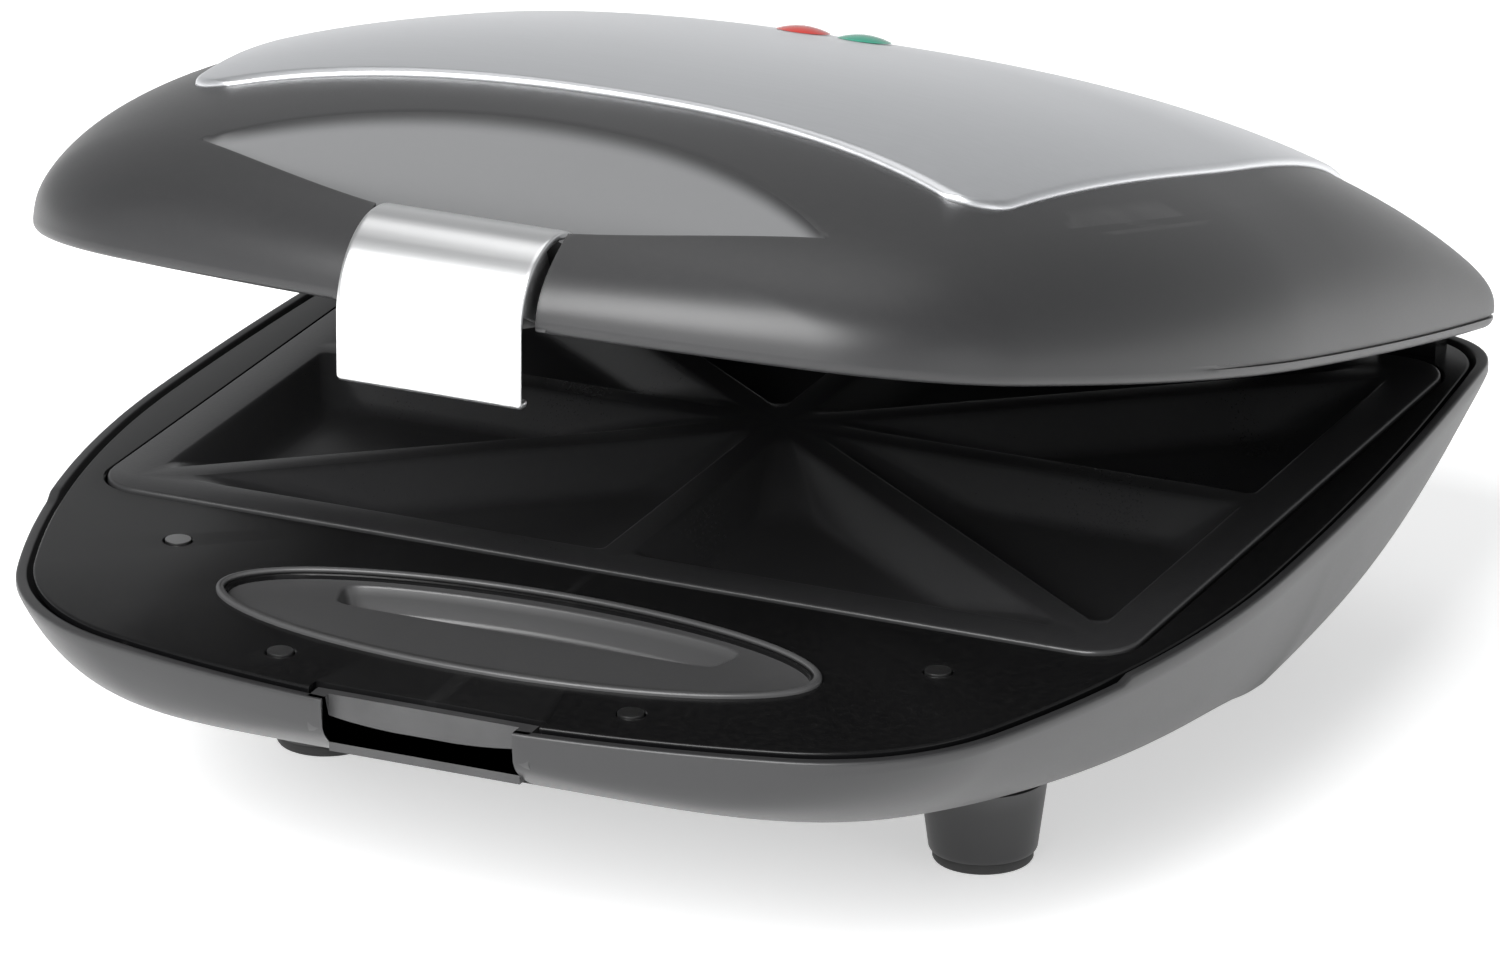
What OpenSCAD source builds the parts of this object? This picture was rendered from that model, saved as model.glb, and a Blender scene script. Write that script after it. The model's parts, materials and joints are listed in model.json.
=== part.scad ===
/* [Housings] */
// Width of both housings at their widest station
body_w = 310; // [300:1:330]
// Reach of the outline from the widest station to the front edge
front_reach = 168; // [166:1:180]
// Reach of the outline from the widest station to the rear wall
rear_reach = 172; // [170:1:186]
// Distance of the widest station ahead of the origin
widest_ahead = 12; // [8:1:16]
// Plan radius of the front edge
front_r = 350; // [320:5:420]
// Plan radius of the front corners
front_corner_r = 60; // [50:1:68]
// Plan radius of the sides ahead of the widest station
side_front_r = 320; // [300:5:380]
// Plan radius of the sides behind the widest station
side_rear_r = 1350; // [1200:50:2000]
// Plan radius of the rear corners
rear_corner_r = 20; // [16:1:26]
// Wall of both plastic housings
wall = 2.6; // [2.2:0.1:3.2]
// Height of the base rim above the table
rim_h = 72; // [68:1:80]
// Depth of the base bowl below its rim
bowl_depth = 54; // [50:1:56]
// Height of the lid dome above its lower edge
dome_h = 57; // [54:1:66]
// Gap between the two housings when the lid is shut
shut_gap = 1.4; // [1.2:0.1:2]

/* [Lid pose and hinge] */
// Opening angle of the lid in the modelled pose
lid_open = 15.5; // [10:0.5:30]
// Distance of the hinge axis behind the rear wall
hinge_set = 12; // [11:0.5:14]
// Drop of the hinge axis below the base rim
hinge_drop = 2.8; // [2:0.1:4]
// Radius of the hinge knuckles
knuckle_r = 8; // [7:0.1:8.5]
// Radius of the hinge pins
hinge_pin_r = 2.5; // [2:0.1:3]
// Distance of each hinge's middle from the centre line
hinge_x = 80; // [60:1:92]
// Length of the knuckle that the lid carries
lid_knuckle_l = 16; // [12:0.5:20]
// Length of each knuckle that the base carries
base_knuckle_l = 6; // [5:0.5:8]
// Radial clearance of pins that turn
pin_clearance = 0.08; // [0.05:0.01:0.1]
// Side clearance between turning pieces
side_clearance = 0.5; // [0.4:0.1:0.8]

/* [Baking plates] */
// Width of the housings outside each side of the plates
plate_side = 16; // [14:1:20]
// Depth of each plate, front to back
plate_d = 218; // [208:1:220]
// Distance of the plates' middle behind the origin
plate_back = 30; // [28:1:31]
// Corner radius of each plate
plate_corner_r = 12; // [8:1:16]
// Thickness of the plate's flat land
plate_t = 3; // [2.5:0.1:3.5]
// Depth of the triangular pockets
pocket_depth = 11; // [8:0.5:12]
// Land round the edge of each plate
plate_margin = 8; // [7:0.5:11]
// Width of the sealing ribs between pockets
rib_w = 8; // [7:0.5:10]
// How far a pocket wall leans in over its depth
pocket_lean = 8; // [5:0.5:10]
// Wall of the pocket tubs
tub_wall = 2.4; // [2:0.1:2.6]
// How far each plate stands proud of its frame
plate_proud = 0.8; // [0.6:0.1:1]
// Radius of the plate posts
post_r = 4; // [3.6:0.1:4.2]
// Distance of the plate posts from the centre
post_reach = 72; // [50:1:80]

/* [Frames] */
// Thickness of the two black frames
frame_t = 2.5; // [2:0.1:3]
// How far the base frame lies below the rim
frame_sink = 0.4; // [0.3:0.1:0.8]
// Gap between a frame's edge and the housing wall
frame_gap = 1.3; // [1.2:0.1:1.5]
// Gap between a plate and its frame
plate_gap = 0.6; // [0.4:0.1:0.8]
// Width of the ledge that carries a plate
ledge_w = 4; // [3:0.5:5]
// Thickness of the ledge that carries a plate
ledge_t = 2; // [1.6:0.1:2.4]
// Height of the two raised rear lugs of the base frame
lug_h = 5; // [3:0.5:7]

/* [Hand deck] */
// Half length of the oval tray in the deck
tray_half_l = 80; // [70:1:82]
// Half width of the oval tray in the deck
tray_half_w = 27; // [23:1:27]
// Distance of the tray's middle from the front edge
tray_back = 56; // [54:1:57]
// Height of the tray's raised lip above the deck
tray_lip_h = 1.2; // [0.8:0.1:1.3]
// Width of the tray's raised lip
tray_lip_w = 2; // [1.6:0.1:3]
// Depth of the finger pocket below the deck
finger_depth = 9; // [6:0.5:11]
// Half length of the finger pocket at its rear edge
finger_half_l = 58; // [48:1:60]

/* [Feet] */
// Distance of the feet from the centre line
foot_x = 90; // [80:1:100]
// Distance of the feet ahead of and behind the plates' middle
foot_y = 78; // [70:1:82]
// Radius of a foot at its top
foot_top_r = 16; // [14:0.5:18]
// Radius of a foot at its bottom
foot_bottom_r = 13.5; // [12:0.5:14]
// Height of the front foot tops above the table
front_foot_top = 22; // [20:0.5:24]
// Height of the rear foot tops above the table
rear_foot_top = 17.2; // [16:0.2:17.4]
// Thickness of the rubber pads
pad_t = 3; // [2:0.1:4]

/* [Lid panel and scoop] */
// Half width of the metal panel at its front
panel_half_w = 107; // [100:1:108]
// How far each side of the panel swells out at its middle
panel_flare = 13; // [10:1:14]
// Distance of the panel's front corners from the front of the lid
panel_back = 72; // [70:1:80]
// How far the middle of the panel's front edge bows back
panel_bow = 14; // [10:1:16]
// Distance of the panel's rear edge from the rear wall
panel_rear = 26; // [22:1:34]
// Thickness of the metal panel
panel_t = 1.5; // [1:0.1:2]
// Gap under the metal panel
panel_gap = 0.5; // [0.4:0.1:0.6]
// Corner radius of the metal panel
panel_corner_r = 12; // [8:1:18]
// Depth of the hand scoop at its deepest
scoop_depth = 12; // [9:0.5:13]
// Half length of the hand scoop
scoop_half_l = 82; // [75:1:86]
// Distance of the scoop's rear edge from the front of the lid
scoop_back = 61.5; // [59:0.5:64]
// Distance of the scoop's front edge from the front of the lid
scoop_set = 12; // [11.5:0.5:14]
// Distance of the scoop's two ends from the front of the lid
scoop_end_back = 34; // [32:0.5:38]
// Radius of an indicator lens
lens_r = 7; // [6:0.1:7.6]
// Distance of each indicator lens from the centre line
lens_x = 8.4; // [8:0.1:10]
// Height that a lens stands above the panel
lens_h = 1.4; // [1:0.1:2]

/* [Latch] */
// Width of the latch clip
clip_w = 48; // [44:1:50]
// Thickness of the latch clip
clip_t = 2; // [1.6:0.1:2.2]
// Outer radius of the clip's bend
clip_r = 20.5; // [20.3:0.1:20.8]
// Length of the clip's straight tail
clip_tail = 17; // [15:0.1:18]
// Swing of the clip from the modelled pose to the hooked pose
latch_in = 12; // [11:0.5:13]
// Set back of the latch axis from the front edge
latch_back = 15.5; // [15.2:0.1:16]
// Height of the latch axis above the base rim
latch_up = 4; // [3.8:0.1:4.4]
// Radius of the latch pin
latch_pin_r = 1.6; // [1.4:0.1:1.8]
// Gap between the clip and what it passes
clip_gap = 0.5; // [0.4:0.1:0.6]
// Gap between each side of the clip and its channel
lane_gap = 1.2; // [1:0.1:1.6]
// Depth of the latch channel in the base front
channel_depth = 5.2; // [5:0.1:5.5]

/* [Heating] */
// Radius of the tubular elements
element_r = 3.25; // [3:0.05:3.5]
// Half width of the element loop
element_half_w = 98; // [80:1:104]
// Half depth of the element loop
element_half_d = 62; // [50:1:72]
// Bend radius of the elements
element_bend = 15; // [12:1:20]
// Thickness of the reflector trays
reflector_t = 0.8; // [0.6:0.1:1]
// Depth of the reflector floor under the frame ledge
reflector_drop = 20; // [19:0.5:22]
// Radius of the screw shanks
screw_r = 1.5; // [1.3:0.1:1.7]
// Radius of the screw heads
head_r = 3.2; // [2.8:0.1:3.6]
// Thickness of the screw heads
head_t = 1.6; // [1.2:0.1:2]

/* [Hidden] */

half_w = body_w / 2;
plate_w = body_w - 2 * plate_side;
front_y = -widest_ahead - front_reach;
rear_y = rear_reach - widest_ahead;
mid_y = (rear_reach - front_reach) / 2;
half_d = (rear_reach + front_reach) / 2;
hinge_y = rear_y + hinge_set;
hinge_z = rim_h - hinge_drop;
eps = 0.01;
far = 400;

// ---- plan outline of the housings, measured from the widest station ----
front_c = [0, front_r - front_reach];
side_c = [half_w - side_front_r, 0];
reach_c = norm(side_c - front_c);
near_c = ((front_r - front_corner_r) ^ 2 - (side_front_r - front_corner_r) ^ 2 + reach_c ^ 2) / (2 * reach_c);
off_c = sqrt((front_r - front_corner_r) ^ 2 - near_c ^ 2);
along = (side_c - front_c) / reach_c;
corner_c = front_c + near_c * along + off_c * [-along.y, along.x];
side_rear_c = [half_w - side_rear_r, 0];
rear_c_y = rear_reach - rear_corner_r;
rear_c = [side_rear_c.x + sqrt((side_rear_r - rear_corner_r) ^ 2 - rear_c_y ^ 2), rear_c_y];
front_a = atan2(corner_c.y - front_c.y, corner_c.x - front_c.x);
side_a = atan2(corner_c.y - side_c.y, corner_c.x - side_c.x);
rear_a = atan2(rear_c.y - side_rear_c.y, rear_c.x - side_rear_c.x);

function arc(c, r, a0, a1, n) = [for (i = [0:n - 1]) c + r * [cos(a0 + (a1 - a0) * i / n), sin(a0 + (a1 - a0) * i / n)]];

right_side = concat(
    arc(front_c, front_r, -90, front_a, 6),
    arc(corner_c, front_corner_r, front_a, side_a, 5),
    arc(side_c, side_front_r, side_a, 0, 3),
    arc(side_rear_c, side_rear_r, 0, rear_a, 4),
    arc(rear_c, rear_corner_r, rear_a, 90, 3),
    [[rear_c.x, rear_reach], [rear_c.x / 2, rear_reach]]);
count_r = len(right_side);
outline = concat(right_side, [[0, rear_reach]], [for (i = [count_r - 1:-1:1]) [-right_side[i].x, right_side[i].y]]);
count = len(outline);

// Half width of the outline at a distance y from the widest station
front_end_y = front_c.y + front_r * sin(front_a);
corner_end_y = side_c.y + side_front_r * sin(side_a);
side_end_y = side_rear_r * sin(rear_a);
function half_width(y) =
    y < front_end_y ? sqrt(max(eps, front_r ^ 2 - (y - front_c.y) ^ 2))
    : y < corner_end_y ? corner_c.x + sqrt(max(0, front_corner_r ^ 2 - (y - corner_c.y) ^ 2))
    : y < 0 ? side_c.x + sqrt(side_front_r ^ 2 - y ^ 2)
    : y < side_end_y ? side_rear_c.x + sqrt(side_rear_r ^ 2 - y ^ 2)
    : rear_c.x + sqrt(max(0, rear_corner_r ^ 2 - (y - rear_c.y) ^ 2));

// The outline drawn in by an inset, in plan
function inset_outline(inset) = [for (p = outline)
    [p.x * (half_w - inset) / half_w, mid_y + (p.y - mid_y) * (half_d - inset) / half_d]];

// ---- lid dome: height above the lid's lower edge ----
lid_edge_h = 4;
lid_tuck = 2.2;
crown_y = 38;
function falloff(t, p, q) = pow(max(0, 1 - pow(min(1, max(0, t)), p)), 1 / q);
function dome_along(y) = y < crown_y
    ? falloff((crown_y - y) / (crown_y + front_reach), 2.525, 1.778)
    : falloff((y - crown_y) / (rear_reach - crown_y), 1.759, 2.475);
function dome_across(x, y) = falloff(abs(x) / half_width(y), 2.568, 2.334);
function dome(x, y) = lid_edge_h + (dome_h - lid_edge_h) * dome_along(y) * dome_across(x, y);

// Hand scoop: a crescent between two curved edges, deepest towards the roll
scoop_rear = front_reach - scoop_back;
scoop_front = front_reach - scoop_set;
scoop_end = front_reach - scoop_end_back;
function scoop_bend(x) = min(1, (x / scoop_half_l) ^ 2);
function scoop_at(x, y) = let(
    b = scoop_bend(x),
    rear = -scoop_rear - (scoop_end - scoop_rear) * b,
    front = -scoop_front + (scoop_front - scoop_end) * b,
    w = (y - rear) / min(-eps, front - rear))
    b >= 1 || w <= 0 || w >= 1 ? 0
    : scoop_depth * pow(1 - b, 0.6) * pow(w / 0.6, 1.2) * pow((1 - w) / 0.4, 0.8);
function lid_top(x, y) = dome(x, y) - scoop_at(x, y);

// ---- base bowl: depth below the rim ----
bowl_edge = 3;
bowl_slope = 62.5;
bowl_y = 34;
bowl_blend = 12;
function bowl_along(y) = y < bowl_y
    ? falloff((bowl_y - y) / (bowl_y + front_reach), 0.625, 2.34)
    : falloff((y - bowl_y) / (rear_reach - bowl_y), 4, 2);
function bowl_raw(x, y) = bowl_edge + bowl_slope * bowl_along(y) * falloff(abs(x) / half_width(y), 8, 1.04);
function bowl(x, y) = pow(pow(bowl_raw(x, y), -bowl_blend) + pow(bowl_depth, -bowl_blend), -1 / bowl_blend);

// ---- shells swept over the outline ----
lid_rings = [1, 0.985, 0.96, 0.93, 0.9, 0.87, 0.83, 0.79, 0.75, 0.7, 0.64, 0.58, 0.52, 0.38, 0.2];
base_rings = [1, 0.985, 0.965, 0.94, 0.905, 0.86, 0.8, 0.72, 0.58, 0.35];

function plan_point(p, s) = [p.x * s, mid_y + (p.y - mid_y) * s];
function drawn_in(q, inset) = [q.x * (half_w - inset) / half_w, mid_y + (q.y - mid_y) * (half_d - inset) / half_d];
function lid_ring(s, inset) = [for (p = outline) let(q = plan_point(p, s), d = drawn_in(q, inset))
    [d.x, d.y, max(lid_edge_h / 2, lid_top(q.x, q.y) - inset)]];
function base_ring(s, inset) = [for (p = outline) let(q = plan_point(p, s), d = drawn_in(q, inset))
    [d.x, d.y, min(-eps * 10, inset - bowl(q.x, q.y))]];
function flat_ring(z, inset) = [for (d = inset_outline(inset)) [d.x, d.y, z]];

// One closed solid from a chain of rings with a point at each end
module ring_solid(first, rings, last) {
    m = len(rings);
    n = len(rings[0]);
    points = concat([first], [for (r = rings) each r], [last]);
    end = len(points) - 1;
    faces = concat(
        [for (j = [0:n - 1]) [0, 1 + (j + 1) % n, 1 + j]],
        [for (i = [0:m - 2], j = [0:n - 1], k = [0, 1]) let(
            a = 1 + i * n + j,
            b = 1 + i * n + (j + 1) % n)
            k == 0 ? [a, b + n, a + n] : [a, b, b + n]],
        [for (j = [0:n - 1]) [end, 1 + (m - 1) * n + j, 1 + (m - 1) * n + (j + 1) % n]]);
    polyhedron(points = points, faces = faces);
}

module lid_shell() {
    n = len(lid_rings);
    ring_solid([0, mid_y, lid_top(0, mid_y)],
        concat([for (i = [n - 1:-1:0]) lid_ring(lid_rings[i], 0)],
            [flat_ring(0, lid_tuck), flat_ring(0, wall + lid_tuck)],
            [for (i = [0:n - 1]) lid_ring(lid_rings[i], wall)]),
        [0, mid_y, lid_top(0, mid_y) - wall]);
}

module lid_fill() {
    n = len(lid_rings);
    ring_solid([0, mid_y, lid_top(0, mid_y) - wall / 2],
        concat([for (i = [n - 1:-1:0]) lid_ring(lid_rings[i], wall / 4)],
            [flat_ring(0, wall / 2 + lid_tuck)]),
        [0, mid_y, 0]);
}

module base_shell() {
    n = len(base_rings);
    mirror([0, 0, 1])
    ring_solid([0, mid_y, bowl(0, mid_y)],
        concat([for (i = [n - 1:-1:0]) [for (q = base_ring(base_rings[i], 0)) [q.x, q.y, -q.z]]],
            [flat_ring(0, 0), flat_ring(0, wall)],
            [for (i = [0:n - 1]) [for (q = base_ring(base_rings[i], wall)) [q.x, q.y, -q.z]]]),
        [0, mid_y, bowl(0, mid_y) - wall]);
}

module base_fill() {
    n = len(base_rings);
    mirror([0, 0, 1])
    ring_solid([0, mid_y, bowl(0, mid_y) - wall / 2],
        concat([for (i = [n - 1:-1:0]) [for (q = base_ring(base_rings[i], wall / 2)) [q.x, q.y, -q.z]]],
            [flat_ring(0, wall / 2)]),
        [0, mid_y, 0]);
}

// ---- small helpers ----
module at_rim() {
    translate([0, -widest_ahead, rim_h]) children();
}

// The lid's parts are drawn shut and turned to the modelled pose about the hinge
module lid_pose() {
    translate([0, hinge_y, hinge_z]) rotate([-lid_open, 0, 0]) translate([0, -hinge_y, -hinge_z]) children();
}

module block(lo, hi) {
    translate(lo) cube(hi - lo);
}

module slab(points, z0, z1) {
    translate([0, 0, z0]) linear_extrude(z1 - z0) polygon(points);
}

module rod_x(x0, x1, y, z, r) {
    translate([x0, y, z]) rotate([0, 90, 0]) cylinder(r = r, h = x1 - x0, $fn = 48);
}

module post(p, z0, z1, r) {
    translate([p.x, p.y, z0]) cylinder(r = r, h = z1 - z0, $fn = 48);
}

// Drafted boss, wider at one end
boss_turn = 3;
module boss(p, z0, z1, r0, r1) {
    hull() {
        translate([p.x, p.y, z0]) rotate(boss_turn) cylinder(r = r0, h = 1, $fn = 20);
        translate([p.x, p.y, z1 - 1]) rotate(boss_turn) cylinder(r = r1, h = 1, $fn = 20);
    }
}

module pilot(p, z0, z1, r) {
    translate([p.x, p.y, z0]) cylinder(r = r, h = z1 - z0, $fn = 16);
}

module both_sides() {
    children();
    mirror([1, 0, 0]) children();
}

function shifted(points, dy) = [for (p = points) [p.x, p.y + dy]];
function plan_at(inset) = shifted(inset_outline(inset), -widest_ahead);
function ellipse_points(c, a, b, n) = [for (i = [0:n - 1]) c + [a * cos(360 * i / n), b * sin(360 * i / n)]];
function rounded(w, d, r, n) = [for (k = [0:3], i = [0:n]) let(
    a = 90 * k + 90 * i / n,
    sx = (k == 0 || k == 3) ? 1 : -1,
    sy = k < 2 ? 1 : -1)
    [sx * (w / 2 - r) + r * cos(a), sy * (d / 2 - r) + r * sin(a)]];

// Rounded slab centred on the plates' middle
module plate_slab(w, d, r, z0, z1) {
    slab(shifted(rounded(w, d, r, 6), plate_back), z0, z1);
}

// ---- triangular pockets of the plates ----
cell_w = (plate_w - 2 * plate_margin) / 2;
cell_d = (plate_d - 2 * plate_margin) / 2;
function inradius(t) = let(
    a = norm(t[1] - t[2]), b = norm(t[2] - t[0]), c = norm(t[0] - t[1]),
    s = (a + b + c) / 2)
    sqrt((s - a) * (s - b) * (s - c) / s);
function incentre(t) = let(
    a = norm(t[1] - t[2]), b = norm(t[2] - t[0]), c = norm(t[0] - t[1]))
    (a * t[0] + b * t[1] + c * t[2]) / (a + b + c);
function inset_triangle(t, w) = [for (p = t) incentre(t) + (p - incentre(t)) * (inradius(t) - w) / inradius(t)];
side_cell = [[0, 0], [cell_w, 0], [cell_w, cell_d]];
end_cell = [[0, 0], [cell_w, cell_d], [0, cell_d]];

// A pocket of triangular plan, narrower at its floor
module tub(t, top_inset, floor_inset, z_top, z_floor) {
    a = inset_triangle(t, top_inset);
    b = inset_triangle(t, floor_inset);
    polyhedron(
        points = concat([for (p = a) [p.x, p.y, z_top]], [for (p = b) [p.x, p.y, z_floor]]),
        faces = [[2, 1, 0], [3, 4, 5], [0, 1, 4], [0, 4, 3], [1, 2, 5], [1, 5, 4], [2, 0, 3], [2, 3, 5]]);
}

module all_tubs(top_inset, floor_inset, z_top, z_floor) {
    for (mx = [0, 1], my = [0, 1]) {
        mirror([mx, 0, 0]) mirror([0, my, 0]) {
            tub(side_cell, top_inset, floor_inset, z_top, z_floor);
            tub(end_cell, top_inset, floor_inset, z_top, z_floor);
        }
    }
}

// Plate with its cooking face up at z = 0
tub_floor = pocket_depth + tub_wall;
module plate_body() {
    difference() {
        union() {
            slab(rounded(plate_w, plate_d, plate_corner_r, 6), -plate_t, 0);
            all_tubs(rib_w / 2 - tub_wall, rib_w / 2 + pocket_lean - tub_wall, -plate_t / 2, -tub_floor);
            for (p = plate_posts) {
                post(p, -plate_t - reflector_drop, -plate_t / 2, post_r);
            }
            post([0, 0], sensor_z, -plate_t / 2, post_r);
        }
        all_tubs(rib_w / 2, rib_w / 2 + pocket_lean, eps, -pocket_depth);
        for (p = plate_posts) {
            post(p, -plate_t - reflector_drop - 1, -plate_t - 2, screw_r + thread_play);
        }
    }
}
plate_posts = [[post_reach, 0], [-post_reach, 0], [0, post_reach], [0, -post_reach]];
// Short post under the middle of a plate, for the thermostat or the fuse
sensor_z = -12;
thread_play = 0.05;

// Tubular element: a rounded loop whose two ends turn to the rear
element_gap = 0.1;
element_z = -tub_floor - element_gap - element_r;
element_end_x = 24;
element_end_y = element_half_d + 26;
module bend(c, a0) {
    translate([c.x, c.y, element_z]) rotate([0, 0, a0])
        rotate_extrude(angle = 90, $fn = 48) translate([element_bend, 0]) circle(r = element_r, $fn = 32);
}
module run_x(x0, x1, y) {
    translate([x0, y, element_z]) rotate([0, 90, 0]) cylinder(r = element_r, h = x1 - x0, $fn = 32);
}
module run_y(x, y0, y1) {
    translate([x, y0, element_z]) rotate([-90, 0, 0]) cylinder(r = element_r, h = y1 - y0, $fn = 32);
}
module element_body() {
    w = element_half_w;
    d = element_half_d;
    b = element_bend;
    run_x(-w + b, w - b, -d);
    both_sides() {
        bend([w - b, -d + b], -90);
        run_y(w, -d + b, d - b);
        bend([w - b, d - b], 0);
        run_x(element_end_x + b, w - b, d);
        bend([element_end_x + b, d + b], 180);
        run_y(element_end_x, d + b, element_end_y);
    }
}

// Saddles that stand on the reflector and press the element to the plate
reflector_floor = -plate_t - reflector_drop;
clamp_w = 12;
clamp_spots = [[element_half_w, 0], [-element_half_w, 0], [50, -element_half_d], [-50, -element_half_d]];
module clamps_body() {
    for (p = clamp_spots) {
        difference() {
            block([p.x - clamp_w / 2, p.y - clamp_w / 2, reflector_floor], [p.x + clamp_w / 2, p.y + clamp_w / 2, element_z]);
            if (p.y == 0) {
                translate([p.x, p.y - clamp_w, element_z]) rotate([-90, 0, 0])
                    cylinder(r = element_r + element_gap, h = 2 * clamp_w, $fn = 32);
            } else {
                rod_x(p.x - clamp_w, p.x + clamp_w, p.y, element_z, element_r + element_gap);
            }
        }
    }
}

// Reflector tray with upturned walls
reflector_w = 2 * (element_half_w + 14);
reflector_d = 2 * (element_half_d + 18);
reflector_wall_h = -tub_floor - 0.6 - reflector_floor;
module reflector_body() {
    difference() {
        slab(rounded(reflector_w, reflector_d, plate_corner_r, 6), reflector_floor - reflector_t, reflector_floor + reflector_wall_h);
        slab(rounded(reflector_w - 2 * reflector_t, reflector_d - 2 * reflector_t, plate_corner_r - reflector_t, 6),
            reflector_floor, reflector_floor + reflector_wall_h + 1);
        for (p = plate_posts) {
            post(p, reflector_floor - 5, reflector_floor + 1, screw_r + 0.2);
        }
        post([0, 0], reflector_floor - 5, reflector_floor + 1, post_r + 3);
        block([-element_end_x - 8, reflector_d / 2 - 5, element_z - element_r - 2],
            [element_end_x + 8, reflector_d / 2 + 5, far]);
    }
}

// Pan head screw pointing along +Z from its seat at z = 0
module screw_up(p, z, length) {
    translate([p.x, p.y, z]) {
        cylinder(r = screw_r, h = length, $fn = 32);
        translate([0, 0, -head_t]) cylinder(r = head_r, h = head_t, $fn = 32);
    }
}
module screw_down(p, z, length) {
    translate([p.x, p.y, z]) mirror([0, 0, 1]) screw_up([0, 0], 0, length);
}
screw_bite = 6;
module plate_screws_body() {
    for (p = plate_posts) {
        screw_up(p, reflector_floor - reflector_t, screw_bite);
    }
}

// ---- levels of the assembly ----
deck_z = rim_h - frame_sink;
plate_z = deck_z + plate_proud;
lid_z = rim_h + shut_gap;
lid_frame_z = lid_z + frame_sink;
lid_plate_z = lid_frame_z - plate_proud;
recess = 1.2;

// Screws of the two frames
frame_screw_spots = [for (sx = [-1, 1]) each [
    [sx * (half_w - 53), front_y + 76.5],
    [sx * 46.5, front_y + 22],
    [sx * (half_w - 55), rear_y - 13]]];
column_r = 4.5;
foot_spots = [for (sy = [-1, 1], sx = [-1, 1]) [sx * foot_x, plate_back + sy * foot_y]];
function foot_top(p) = p.y < plate_back ? front_foot_top : rear_foot_top;

module frame_holes(z_seat, down) {
    for (p = frame_screw_spots) {
        post(p, z_seat - 5, z_seat + 5, screw_r + 0.3);
        post(p, down ? z_seat : z_seat - 5, down ? z_seat + 5 : z_seat, head_r + 0.4);
    }
}

// ---- latch geometry, measured from the latch axis in [y, z] ----
latch_y = front_y + latch_back;
latch_z = rim_h + latch_up;
clip_in_r = clip_r - clip_t;
core_r = clip_in_r - clip_gap;
tail_a = -15;
clip_top_a = 100;
tail_dir = [-sin(tail_a), -cos(tail_a)];
inward = [cos(tail_a), -sin(tail_a)];
function on_clip(r, a) = r * [-cos(a), sin(a)];
channel_y = front_y + channel_depth;
tail_end = on_clip(clip_r, tail_a) + clip_tail * tail_dir;
lip_l = (channel_y - clip_gap - latch_y - tail_end.x) / inward.x;
lip_tip = tail_end + lip_l * inward;
lip_top = lip_tip - clip_t * tail_dir;
function hooked(p) = [p.x * cos(latch_in) - p.y * sin(latch_in), p.y * cos(latch_in) + p.x * sin(latch_in)];
ledge_z = latch_z + hooked(lip_top).y + clip_gap;
lane = clip_w / 2 + lane_gap;
core_half = clip_w / 2 - clip_t - 1.8;
slot_rear = latch_y + clip_in_r * sin(clip_top_a - 90) + 10;

// ---- base ----
knuckle_half = lid_knuckle_l / 2 + side_clearance + base_knuckle_l;
base_web = [[rear_y - 5, hinge_z - 16], [rear_y - 5, hinge_z - 2], [hinge_y, hinge_z - 2], [hinge_y + 6, hinge_z - 5]];
lid_web = [[rear_y - 3.5, lid_z + 7], [rear_y - 3.5, lid_z + 16], [hinge_y + 4, hinge_z + 6.5], [hinge_y - 4, hinge_z - 4]];
gland_x = 30;
gland_z = rim_h - 22;
gland_r = 7;
gland_face = rear_y + 2;

notch_back = channel_y + 8;
channel_body = [[channel_y - 3, 0], [notch_back + wall, 0], [notch_back + wall, deck_z - frame_t - 1],
    [channel_y + wall, deck_z - frame_t - 1], [channel_y + wall, rim_h + 1], [channel_y - 3, rim_h + 1]];

module extrude_x(x0, x1) {
    translate([x0, 0, 0]) rotate([90, 0, 90]) linear_extrude(x1 - x0) children();
}

module base_housing() {
    color("#55565a")
    difference() {
        union() {
            at_rim() base_shell();
            intersection() {
                at_rim() base_fill();
                union() {
                    for (p = frame_screw_spots) {
                        boss(p, rim_h - bowl_depth, deck_z - frame_t, column_r + 1.5, column_r);
                    }
                    boss([block_x, block_y], rim_h - bowl_depth, block_z, column_r + 1.5, column_r);
                    extrude_x(-lane - 4, lane + 4) polygon(channel_body);
                }
            }
            for (p = foot_spots) {
                boss(p, foot_top(p), foot_top(p) + 9, foot_top_r, foot_top_r);
                boss(p, foot_top(p), foot_top(p) + foot_bite + 2, column_r, column_r);
            }
            translate([gland_x, gland_face - 14, gland_z]) rotate([-90, 0, 0]) cylinder(r = gland_r + 4, h = 14, $fn = 32);
        }
        block([-lane, -far, ledge_z - 20], [lane, channel_y, far]);
        block([-lane, -far, 0], [lane, notch_back, ledge_z]);
        for (p = frame_screw_spots) {
            pilot(p, deck_z - frame_t - screw_bite - 1, deck_z, screw_r + 2 * thread_play);
        }
        for (p = foot_spots) {
            pilot(p, 0, foot_top(p) + foot_bite, screw_r + 2 * thread_play);
        }
        translate([gland_x, gland_face - 20, gland_z]) rotate([-90, 0, 0]) cylinder(r = gland_r + 0.15, h = 30, $fn = 32);
        both_sides() for (x0 = base_knuckle_starts) {
            extrude_x(x0, x0 + base_knuckle_l) polygon(base_web);
        }
    }
}

base_knuckle_starts = [hinge_x - knuckle_half, hinge_x + knuckle_half - base_knuckle_l];

// Knuckles that the base carries, two for each hinge
module base_hinges() {
    color("#3b3c3f")
    both_sides() for (x0 = base_knuckle_starts) {
        difference() {
            union() {
                rod_x(x0, x0 + base_knuckle_l, hinge_y, hinge_z, knuckle_r);
                extrude_x(x0, x0 + base_knuckle_l) polygon(base_web);
            }
            rod_x(x0 - 1, x0 + base_knuckle_l + 1, hinge_y, hinge_z, hinge_pin_r + seat_play);
        }
    }
}

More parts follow.
